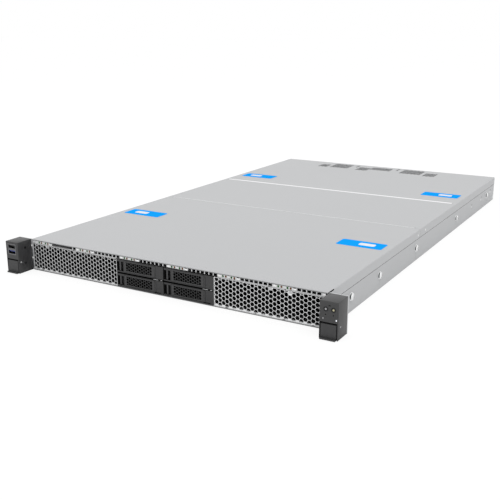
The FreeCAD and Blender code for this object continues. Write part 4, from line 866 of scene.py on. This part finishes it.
class SERVER_OT_board_details(bpy.types.Operator):
    """Chips, coils, capacitors, sockets and cables on and beside the main board"""
    bl_idname = "server.board_details"
    bl_label = "Board details"

    def execute(self, context):
        low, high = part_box("main_board")
        self.base = high[2]
        self.coils()
        self.chips()
        self.cooler()
        self.sockets(low[1])
        self.cables()
        return {"FINISHED"}

    def box_at(self, name, x, y, width, length, height, rounding):
        """A rounded box on the board, with its middle at x and y."""
        piece = block(name, (x - width / 2, y - length / 2, self.base),
                      (x + width / 2, y + length / 2, self.base + height))
        round_edges(piece, rounding)
        return piece

    def coils(self):
        """A row of coils in front of the heat sinks and one behind them, each with its capacitors."""
        sink_low, sink_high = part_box("cpu_heatsinks")
        rows = ((sink_low[1] - 0.022, -0.012), (sink_high[1] + 0.024, 0.012))
        inner_x, step = 0.076, 0.0128
        coil = self.box_at("coil", 0, 0, 0.010, 0.010, 0.0062, 0.001)
        coils = copies(coil, [(side * (inner_x + step * k), y, 0)
                              for side in (-1, 1) for y, away in rows for k in range(6)])
        finish(join("board_coils", coils), "coil")
        can = rod("can", (0, 0, self.base + 0.0042), 0.0036, 0.0084, "z", 20)
        round_edges(can, 0.0005)
        cans = copies(can, [(side * (inner_x - 0.006 + step * k), y + away, 0)
                            for side in (-1, 1) for y, away in rows for k in range(7)])
        finish(join("board_capacitors", cans), "case")

    def chips(self):
        """Flat chips, and the coin cell in its holder."""
        chips = [self.box_at("chip", x, y, size, size, 0.0016, 0.0003) for x, y, size in CHIPS]
        finish(join("board_chips", chips), "black")
        x, y = -0.096, 0.700
        cell = rod("coin_cell", (x, y, self.base + 0.0030), 0.0100, 0.0032, "z", 40)
        round_edges(cell, 0.0006, 3)
        finish(cell, "steel")
        holder = rod("cell_holder", (x, y, self.base + 0.0014), 0.0118, 0.0028, "z", 40)
        round_edges(holder, 0.0004)
        finish(holder, "connector")

    def cooler(self):
        """Small finned cooler on the chipset."""
        x, y = 0.004, 0.628
        base = self.box_at("cooler", x, y, 0.038, 0.038, 0.003, 0.0004)
        fin = block("fin", (x - 0.0005, y - 0.018, self.base + 0.0028),
                    (x + 0.0005, y + 0.018, self.base + 0.0140))
        fins = along_x(fin, [-0.0168 + 0.0042 * k for k in range(9)])
        finish(join("chipset_cooler", [base] + fins), "fins")

    def sockets(self, board_front):
        """Card sockets with a slit, power sockets with eight pockets, and a socket for each fan."""
        foot = self.base + 0.005
        sockets = []
        for x, y in ((-0.088, 0.712), (-0.040, 0.712), (0.086, 0.722)):
            body = self.box_at("socket", x, y, 0.0078, 0.062, 0.0110, 0.0005)
            carve(body, block("slit", (x - 0.0011, y - 0.0285, foot), (x + 0.0011, y + 0.0285, foot + 0.007)))
            sockets.append(body)
        for x, y in ((-0.120, 0.600), (-0.120, 0.640), (0.120, 0.600), (0.120, 0.640)):
            body = self.box_at("power_socket", x, y, 0.0120, 0.0260, 0.0125, 0.0006)
            pocket = block("pocket", (-0.0018, -0.0022, foot), (0.0018, 0.0022, foot + 0.009))
            pockets = copies(pocket, [(x + i * 0.0026, y + k * 0.0058, 0)
                                      for i in (-1, 1) for k in (-1.5, -0.5, 0.5, 1.5)])
            carve(body, join("pockets", pockets))
            sockets.append(body)
        for k in range(6):
            x, y = -0.170 + 0.068 * k, board_front + 0.007
            sockets.append(self.box_at("fan_socket", x, y, 0.0125, 0.0058, 0.0080, 0.0004))
        finish(join("board_sockets", sockets), "connector")

    def cables(self):
        """Flat cables from the backplane past the fans to the board, one along each side wall."""
        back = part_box("drive_backplane")[1][1]
        y0, y1 = back + 0.002, 0.2960
        foot, head = 0.0110, 0.0270
        for side, hand in SIDES:
            inner, near, wall = side * 0.1900, side * 0.2094, side * 0.2104
            pieces = [block("run", (near, y0, foot), (wall, y1, head)),
                      block("front_turn", (inner, back + 0.0004, foot), (wall, back + 0.0021, head)),
                      block("rear_turn", (inner, y1 - 0.0010, self.base + 0.0080), (wall, y1 + 0.0001, head))]
            pieces += [block("rib", (near - side * 0.0001, y0, z), (wall + side * 0.0001, y1, z + 0.0006))
                       for z in [foot + 0.0002 + 0.0013 * k for k in range(12)]]
            finish(join("flat_cable_" + hand, pieces), "cable")
            plug = block("cable_plug_" + hand, (inner - side * 0.001, 0.2925, self.base),
                         (wall + side * 0.001, 0.2985, self.base + 0.0090))
            round_edges(plug, 0.0005)
            finish(plug, "connector")


# Covers

LID = 0.043
BEAD_Y, BEAD_HALF = 0.4992, 0.0025
# Middle, width and length of each field of holes in the rear cover
VENT_FIELDS = (
    (-0.1180, 0.727, 0.021, 0.027), (-0.0835, 0.736, 0.041, 0.042), (-0.0335, 0.727, 0.024, 0.032),
    (0.0005, 0.740, 0.042, 0.030), (0.0655, 0.738, 0.043, 0.042), (0.1050, 0.726, 0.023, 0.031),
    (-0.0525, 0.749, 0.005, 0.024), (0.0325, 0.751, 0.005, 0.022),
)
# Cover, front edge and rear edge of each row of labels
LABEL_ROWS = (("front", 0.183, 0.2112), ("rear", 0.540, 0.569))
LABEL_X, MARK_X = 0.177, 0.1845


def cover_shell(name, node, fold_radius):
    """Folded sheet with rounded folds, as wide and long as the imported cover."""
    low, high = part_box(node)
    sheet = 0.001
    shell = block(name, low, (high[0], high[1], LID))
    carve(shell, block("hollow", (low[0] + sheet, low[1] - 0.01, low[2] - 0.01),
                       (high[0] - sheet, high[1] + 0.01, LID - sheet)))

    def outer_fold(a, b):
        along_y = abs(a.x - b.x) < 1e-5 and abs(a.z - b.z) < 1e-5
        return along_y and abs(abs(a.x) - high[0]) < 1e-4 and abs(a.z - LID) < 1e-4

    round_picked(shell, outer_fold, fold_radius, 5)
    return shell


class SERVER_OT_covers(bpy.types.Operator):
    """The two covers, with the raised bead and the perforated vents"""
    bl_idname = "server.covers"
    bl_label = "Covers"

    def execute(self, context):
        sizes = context.scene.server_sizes
        front = cover_shell("front_cover_sheet", "front_cover", sizes.fold_radius)
        self.dress(front, "front_cover")
        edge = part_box("front_cover")[1][0]
        # Black painted shade in the relief at the front cover's corner
        relief = block("cover_corner_relief", (edge - 0.0007, -0.0001, LID - 0.0011),
                       (edge + 0.00005, 0.014, LID + 0.00005))
        finish(relief, "painted_shade_black", "front_cover")
        rear = cover_shell("rear_cover_sheet", "rear_cover", sizes.fold_radius)
        self.bead()
        self.vents(rear, sizes)
        self.dress(rear, "rear_cover")
        return {"FINISHED"}

    def bead(self):
        """Raised bead across the rear cover and its front lip, both in a painted highlight, and painted shade
        at the ends of both.
        """
        low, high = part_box("rear_cover")
        reach, lip_reach = high[0] - 0.0075, 0.2095
        bead = block("cover_bead", (-reach, BEAD_Y - BEAD_HALF, LID - 0.0005),
                     (reach, BEAD_Y + BEAD_HALF, high[2]))
        round_edges(bead, 0.0004, 3)
        lip = block("cover_lip", (-lip_reach, low[1] + 0.0001, 0.0427), (lip_reach, low[1] + 0.0011, 0.04315))
        finish(join("cover_bead", [bead, lip]), "bead", "rear_cover")
        spots = [(side * (x + 0.0008), y) for side in (-1, 1)
                 for x, y in ((reach, BEAD_Y - 0.0004), (lip_reach, low[1] + 0.0014))]
        ends = [block("end", (x - 0.0006, y - 0.0012, 0.0427), (x + 0.0006, y + 0.0012, 0.04308))
                for x, y in spots]
        finish(join("cover_bead_ends", ends), "painted_shade_grey", "rear_cover")

    def vents(self, rear, sizes):
        """Fields of six-sided holes with a black sheet of painted shade under each."""
        screens, places = [], []
        pitch = sizes.vent_pitch
        spacing = pitch * math.sqrt(3) / 2
        for x, y, width, length in VENT_FIELDS:
            screens.append(block("shade_sheet", (x - width / 2, y - length / 2, 0.0421),
                                 (x + width / 2, y + length / 2, 0.0428)))
            columns = max(1, int(width / spacing))
            rows = int(length / pitch)
            for i in range(columns):
                column = x + (i - (columns - 1) / 2) * spacing
                shift = 0.25 if i % 2 else -0.25
                places += [(column, y + (k - (rows - 1) / 2 + shift) * pitch, 0) for k in range(rows)]
        finish(join("vent_screens", screens), "painted_shade_black", "rear_cover")
        punch = rod("punch", (0, 0, 0.0425), sizes.vent_flats / math.sqrt(3), 0.004, "z", 6)
        carve(rear, join("vent_holes", copies(punch, places)))

    def dress(self, cover, node):
        smooth(cover, 30)
        finish(cover, "sheet", node)
        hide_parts(node)


class SERVER_OT_labels(bpy.types.Operator):
    """Four plain blue labels with a white field, near the covers' corners"""
    bl_idname = "server.labels"
    bl_label = "Labels"

    def execute(self, context):
        for word, y0, y1 in LABEL_ROWS:
            body = word + "_cover"
            for side, hand in SIDES:
                x = side * LABEL_X
                label = self.plate("cover_label_%s_%s" % (word, hand), (x - 0.0315, y0, LID - 0.0001),
                                   (x + 0.0317, y1, LID + 0.0002))
                finish(label, "label", body)
                x, y = side * MARK_X, (y0 + y1) / 2
                mark = self.plate("cover_mark_%s_%s" % (word, hand), (x - 0.0108, y - 0.0051, LID + 0.0001),
                                  (x + 0.0114, y + 0.0058, LID + 0.00035))
                finish(mark, "label_mark", body)
        return {"FINISHED"}

    def plate(self, name, low, high):
        """A thin plate with rounded corners."""
        plate = block(name, low, high)
        round_picked(plate, lambda a, b: abs(a.x - b.x) < 1e-6 and abs(a.y - b.y) < 1e-6, 0.003, 6)
        return plate


# Control ears

POWER_X, IDENT_X, BUTTON_Z = 0.2357, 0.2269, 0.034
HEALTH_LAMP, POWER_LAMP = (0.2239, 0.0233), (0.2392, 0.0230)
PINHOLES = ((0.2270, 0.0280), (0.2357, 0.0280))
USB_UPPER_Z, USB_LOWER_Z = 0.0366, 0.0291
# X, Y and Z of the lever's pin in the right ear
LEVER_PIN = (0.2304, -0.0175, 0.0141)
# Y and Z of the two small screws in the inner face of the left ear
EAR_SCREWS = ((-0.0116, 0.0335), (-0.0123, 0.0124))


class SERVER_OT_control_ears(bpy.types.Operator):
    """Ear housings with rounded edges, small openings, button rings and lamps"""
    bl_idname = "server.control_ears"
    bl_label = "Control ears"

    def execute(self, context):
        right = self.housing("right", 1)
        self.right_openings(right)
        self.dress(right, "ear_housing_right")
        left = self.housing("left", -1)
        self.left_openings(left)
        self.dress(left, "ear_housing_left")
        self.right_trim()
        self.usb_trim()
        self.inner_face_trim()
        return {"FINISHED"}

    def housing(self, hand, side):
        """Hollow ear, open at its front below, its inside lined with black painted shade, and bored for the
        lever's pin.
        """
        low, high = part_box("ear_housing_" + hand)
        wall, film, ceiling = 0.0009, 0.0001, 0.0194
        body = block("control_ear_" + hand, low, high)
        round_edges(body, 0.0006, 3)
        left, right = low[0] + wall, high[0] - wall
        carve(body, block("cavity", (left, low[1] - PAST, low[2] - PAST), (right, high[1] - 0.002, ceiling)))
        y0, y1 = low[1] + 0.0006, high[1] - 0.0022
        linings = [block("lining", (x, y0, low[2] + 0.0002), (x + film, y1, ceiling - film))
                   for x in (left, right - film)]
        linings.append(block("lining", (left, y0, ceiling - film), (right, y1, ceiling)))
        finish(join("ear_inner_shade_" + hand, linings), "painted_shade_black")
        x, y, z = LEVER_PIN
        carve(body, rod("pin_hole", (side * x, y, z), 0.00122, 0.03, "x", 20))
        return body

    def right_openings(self, body):
        """Wells of the buttons, the slot above them, two pinholes and the windows of the lamps."""
        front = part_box("ear_housing_right")[0][1]
        for x in (POWER_X, IDENT_X):
            carve(body, rod("well", (x, front + 0.0034, BUTTON_Z), 0.00233, 0.0101, "y", 32))
        slot = block("slot", (0.2300, front - PAST, 0.0377), (0.2324, front + 0.003, 0.0387))
        round_edges(slot, 0.0003)
        carve(body, slot)
        for x, z in PINHOLES:
            carve(body, rod("pinhole", (x, front + 0.002, z), 0.00065, 0.006, "y", 16))
        for x, z in (HEALTH_LAMP, POWER_LAMP):
            carve(body, block("window", (x - 0.0008, front - PAST, z - 0.0010),
                              (x + 0.0008, front + 0.002, z + 0.0010)))

    def left_openings(self, body):
        """Pockets of the two ports and the holes of two screws."""
        low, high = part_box("ear_housing_left")
        usb_low, usb_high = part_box("front_usb_ports")
        for z in (USB_LOWER_Z, USB_UPPER_Z):
            carve(body, block("pocket", (usb_low[0] - 0.0001, low[1] - PAST, z - 0.00295),
                              (usb_high[0] + 0.0001, usb_high[1], z + 0.00295)))
        for (y, z), depth in zip(EAR_SCREWS, (0.004, 0.002)):
            carve(body, rod("screw_hole", (high[0], y, z), 0.0012, depth, "x", 20))

    def dress(self, body, node):
        smooth(body, 35)
        finish(body, "ear")
        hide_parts(node)

    def right_trim(self):
        """Raised rings round the buttons, the marks on them, and the lenses of the lamps."""
        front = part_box("ear_housing_right")[0][1]
        for name, x in (("power_ring", POWER_X), ("ident_ring", IDENT_X)):
            ring = rod(name, (x, front, BUTTON_Z), 0.0029, 0.0003, "y", 40)
            carve(ring, rod("bore", (x, front, BUTTON_Z), 0.00234, 0.001, "y", 40))
            round_edges(ring, 0.00008)
            finish(ring, "black")
        for name, x, key, body in (("power_mark", POWER_X, "power_mark", "power_button"),
                                   ("ident_mark", IDENT_X, "button", "id_button")):
            disc = rod(name, (x, front, BUTTON_Z), 0.0011, 0.0003, "y", 24)
            round_edges(disc, 0.0001)
            finish(disc, key, body)
        for name, (x, z), key in (("health_lamp", HEALTH_LAMP, "button"),
                                  ("power_lamp", POWER_LAMP, "white_lamp")):
            lens = block(name, (x - 0.00072, front - 0.0001, z - 0.00092),
                         (x + 0.00072, front + 0.0019, z + 0.00092))
            round_edges(lens, 0.0003)
            finish(lens, key)

    def usb_trim(self):
        """Tongues inside the two ports, and the bright frames round them."""
        low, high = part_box("front_usb_ports")
        for name, z, key in (("usb_tongue_upper", USB_UPPER_Z, "black"),
                             ("usb_tongue_lower", USB_LOWER_Z, "blue_plastic")):
            tongue = block(name, (low[0] + 0.0010, high[1] - 0.0129, z + 0.0002),
                           (high[0] - 0.0010, high[1] - 0.0008, z + 0.0022))
            round_edges(tongue, 0.0003)
            finish(tongue, key)
        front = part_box("ear_housing_left")[0][1]
        frames = []
        for z in (USB_UPPER_Z, USB_LOWER_Z):
            rim = block("rim", (low[0] - 0.0006, front - 0.0002, z - 0.0034),
                        (high[0] + 0.0006, front + 0.0003, z + 0.0034))
            carve(rim, block("window", (low[0] + 0.0003, front - PAST, z - 0.0025),
                             (high[0] - 0.0003, front + PAST, z + 0.0025)))
            frames.append(rim)
        finish(join("usb_frames", frames), "shell")

    def inner_face_trim(self):
        """Screw dimples in black painted shade, the end of the pin and the bracket's tabs on the left ear's
        inner face.
        """
        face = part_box("ear_housing_left")[1][0]
        dimples = [rod("dimple", (face, y, z), radius, 0.0002, "x", 20)
                   for (y, z), radius in zip(EAR_SCREWS, (0.0016, 0.0012))]
        finish(join("ear_dimple_shades", dimples), "painted_shade_black")
        pin = rod("ear_pin_end", (face, -0.0204, 0.0155), 0.0008, 0.0003, "x", 20)
        round_edges(pin, 0.0001)
        finish(pin, "pipe_end")
        tab = block("tab", (face + 0.0001, -0.0007, -0.0012), (face + 0.0021, 0.0002, 0.0012))
        round_edges(tab, 0.0002)
        tabs = copies(tab, [(0, 0, 0.0340), (0, 0, 0.0170)])
        finish(join("bracket_tabs", tabs), "pipe_end")


# Side walls

STUD_PLACES = (0.064, 0.155, 0.298, 0.504, 0.709)
STUD_Z = 0.019
# Y and Z of the rivets and small holes in each wall
WALL_RIVETS = ((0.599, 0.018), (0.667, 0.018), (0.736, 0.020), (0.7600, 0.0075), (0.7590, 0.0045))
WALL_HOLES = ((0.602, 0.0215), (0.671, 0.0222), (0.741, 0.0238))
COVER_RIVETS = (("front", 0.304, 0.0360), ("rear", 0.338, 0.0365))


class SERVER_OT_side_walls(bpy.types.Operator):
    """Outer wall sheets level with the covers' flanges, with painted shadow at their seams, painted shade
    lines under two studs, and rivets
    """
    bl_idname = "server.side_walls"
    bl_label = "Side walls"

    def execute(self, context):
        flange_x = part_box("front_cover")[1][0]
        for side, hand in SIDES:
            self.wall(side, hand, flange_x - 0.00005)
            for word, y, z in COVER_RIVETS:
                rivet = self.rivet("cover_rivet_%s_%s" % (word, hand), side * flange_x, y, z, side)
                finish(rivet, "plated", word + "_cover")
        return {"FINISHED"}

    def wall(self, side, hand, face):
        """Outer sheet with painted shadow in the gap under the flange, rivets, small holes in black painted
        shade, and painted shade lines under two studs.
        """
        pan_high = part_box("chassis_pan")[1]
        wall, back = pan_high[0], pan_high[1]
        flange_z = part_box("front_cover")[0][2]
        sheet = block("wall_sheet_" + hand, (side * (wall - 0.0001), 0.0001, 0.0),
                      (side * face, back, flange_z - 0.0005))
        round_edges(sheet, 0.0002, 1)
        finish(sheet, "sheet")
        flange_gap_shadow = block("cover_gasket_" + hand, (side * (wall + 0.00002), 0.018, flange_z - 0.0006),
                       (side * (face - 0.0001), back - 0.001, flange_z - 0.00005))
        finish(flange_gap_shadow, "painted_shade_black")
        rivets = [self.rivet("rivet", side * face, y, z, side) for y, z in WALL_RIVETS]
        finish(join("wall_rivets_" + hand, rivets), "plated")
        holes = [rod("hole", (side * face, y, z), 0.0009, 0.0002, "x", 16) for y, z in WALL_HOLES]
        finish(join("wall_holes_" + hand, holes), "painted_shade_black")
        creases = [block("stud_shade_line", (side * (face - 0.0002), y + 0.0004, 0.0010),
                         (side * (face + 0.00003), y + 0.0008, STUD_Z - 0.004)) for y in STUD_PLACES[1:3]]
        finish(join("wall_creases_" + hand, creases), "painted_shade_grey")

    def rivet(self, name, x, y, z, side):
        """A flat rivet head with a dimple in its middle."""
        head = rod(name, (x, y, z), 0.0016, 0.0004, "x", 20)
        pick(head, "FACE", lambda face: face.normal.x * side > 0.9)
        bpy.ops.mesh.inset(thickness=0.0004, depth=-0.0001)
        bpy.ops.object.mode_set(mode="OBJECT")
        return head


class SERVER_OT_rail_studs(bpy.types.Operator):
    """Rail studs, each a bright foot and head with a neck between, painted dark for its shade and its dark
    reflection
    """
    bl_idname = "server.rail_studs"
    bl_label = "Rail studs"

    def execute(self, context):
        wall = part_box("chassis_pan")[1][0]
        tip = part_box("rail_studs")[1][0]
        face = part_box("front_cover")[1][0]
        studs, necks = [], []
        for side in (-1, 1):
            discs = []
            for x0, x1, radius, rounding in ((wall, face + 0.0003, 0.0050, 0.0001),
                                             (tip - 0.0005, tip, 0.0043, 0.0002)):
                disc = rod("disc", (side * (x0 + x1) / 2, 0, STUD_Z), radius, x1 - x0, "x", 40)
                round_edges(disc, rounding)
                discs.append(disc)
            studs += copies(join("stud", discs), [(0, y, 0) for y in STUD_PLACES])
            shaded_neck = rod("shaded_neck", (side * (face + tip) / 2, 0, STUD_Z), 0.0037, tip - face - 0.0006, "x", 32)
            necks += copies(shaded_neck, [(0, y, 0) for y in STUD_PLACES])
        row = finish(join("rail_stud_rows", studs), "plated")
        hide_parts("rail_studs")
        finish(join("rail_stud_necks", necks), "stud_neck")
        return {"FINISHED"}


# Stage

CAMERA_PLACE, CAMERA_TARGET = (0.52997, -0.70766, 0.31303), (0.02649, 0.16474, 0.0215)
# Name, place, width and power of each soft light
SOFTBOXES = (("Softbox overhead", (0.6, 0.0, 2.2), 2.4, 14.0), ("Softbox front", (-0.9, -2.2, 1.1), 1.8, 7.0))


class SERVER_OT_stage(bpy.types.Operator):
    """Pale floor, soft light, white background and the camera"""
    bl_idname = "server.stage"
    bl_label = "Stage"

    def execute(self, context):
        self.floor()
        self.light()
        self.background(context.scene)
        self.camera(context)
        context.scene.view_settings.view_transform = "Standard"
        return {"FINISHED"}

    def floor(self):
        deselect()
        bpy.ops.mesh.primitive_plane_add(size=40.0, location=(0, 0, -0.0002))
        ground = named("floor")
        material = bpy.data.materials.new("Pale floor")
        material.use_nodes = True
        tree = material.node_tree
        shader = tree.nodes["Principled BSDF"]
        fill(shader, {"Base Color": (0.88, 0.88, 0.88, 1), "Roughness": 0.9, "Specular IOR Level": 0.1})
        glow = add_node(tree, "ShaderNodeEmission", 0, -300)
        path = add_node(tree, "ShaderNodeLightPath", -400, 300)
        share = add_node(tree, "ShaderNodeMath", -100, 300, operation="MULTIPLY")
        share.inputs[1].default_value = 0.80
        glow.inputs["Strength"].default_value = 1.06
        blend = add_node(tree, "ShaderNodeMixShader", 250, 0)
        out = tree.nodes["Material Output"]
        wire(tree, (path, "Is Camera Ray", share, 0), (share, 0, blend, 0), (shader, 0, blend, 1),
             (glow, 0, blend, 2), (blend, 0, out, "Surface"))
        ground.data.materials.append(material)

    def light(self):
        for name, place, size, power in SOFTBOXES:
            data = bpy.data.lights.new(name, "AREA")
            data.shape = "SQUARE"
            data.size = size
            data.energy = power
            lamp = bpy.data.objects.new(name, data)
            lamp.location = place
            lamp.rotation_euler = (Vector((0, 0.3, 0)) - Vector(place)).to_track_quat("-Z", "Y").to_euler()
            bpy.context.scene.collection.objects.link(lamp)

    def background(self, scene):
        world = bpy.data.worlds.new("White surround")
        scene.world = world
        world.use_nodes = True
        tree = world.node_tree
        tree.nodes.clear()
        path = add_node(tree, "ShaderNodeLightPath", -700, 300)
        shown = add_node(tree, "ShaderNodeMath", -450, 300, operation="MAXIMUM")
        mirrored = add_node(tree, "ShaderNodeMath", -250, 300, operation="MAXIMUM")
        soft = add_node(tree, "ShaderNodeBackground", -250, 0)
        soft.inputs["Strength"].default_value = 0.86
        white = add_node(tree, "ShaderNodeBackground", -250, -150)
        for back in (soft, white):
            back.inputs["Color"].default_value = (1, 1, 1, 1)
        blend = add_node(tree, "ShaderNodeMixShader", 0, 100)
        out = add_node(tree, "ShaderNodeOutputWorld", 200, 100)
        wire(tree, (path, "Is Camera Ray", shown, 0), (path, "Is Glossy Ray", shown, 1),
             (shown, 0, mirrored, 0), (path, "Is Transmission Ray", mirrored, 1), (mirrored, 0, blend, 0),
             (soft, 0, blend, 1), (white, 0, blend, 2), (blend, 0, out, "Surface"))

    def camera(self, context):
        data = bpy.data.cameras.new("Camera")
        data.lens = context.scene.server_sizes.lens
        data.sensor_width = 36.0
        data.clip_end = 100.0
        eye = bpy.data.objects.new("Camera", data)
        eye.location = CAMERA_PLACE
        view = Vector(CAMERA_TARGET) - Vector(CAMERA_PLACE)
        eye.rotation_euler = view.to_track_quat("-Z", "Y").to_euler()
        context.scene.collection.objects.link(eye)
        context.scene.camera = eye


STEPS = (
    SERVER_OT_finishes, SERVER_OT_front_grilles, SERVER_OT_bay_lining, SERVER_OT_vent_strip,
    SERVER_OT_carrier_levers, SERVER_OT_carrier_linings, SERVER_OT_carrier_springs, SERVER_OT_board_details,
    SERVER_OT_covers, SERVER_OT_labels, SERVER_OT_control_ears, SERVER_OT_side_walls, SERVER_OT_rail_studs,
    SERVER_OT_stage,
)


class SERVER_PT_panel(bpy.types.Panel):
    """The steps that make the server"""
    bl_label = "Rack server"
    bl_idname = "SERVER_PT_panel"
    bl_space_type = "VIEW_3D"
    bl_region_type = "UI"
    bl_category = "Server"

    def draw(self, context):
        for step in STEPS:
            self.layout.operator(step.bl_idname)
        for group in (context.scene.server_sizes, context.scene.server_colours):
            box = self.layout.box()
            for name in group.__annotations__:
                box.prop(group, name)


CLASSES = (ServerSizes, ServerColours) + STEPS + (SERVER_PT_panel,)


def register():
    for cls in CLASSES:
        bpy.utils.register_class(cls)
    bpy.types.Scene.server_sizes = bpy.props.PointerProperty(type=ServerSizes)
    bpy.types.Scene.server_colours = bpy.props.PointerProperty(type=ServerColours)


def unregister():
    del bpy.types.Scene.server_colours
    del bpy.types.Scene.server_sizes
    for cls in reversed(CLASSES):
        bpy.utils.unregister_class(cls)


def main():
    register()
    for step in STEPS:
        family, name = step.bl_idname.split(".")
        getattr(getattr(bpy.ops, family), name)()


if __name__ == "__main__":
    main()
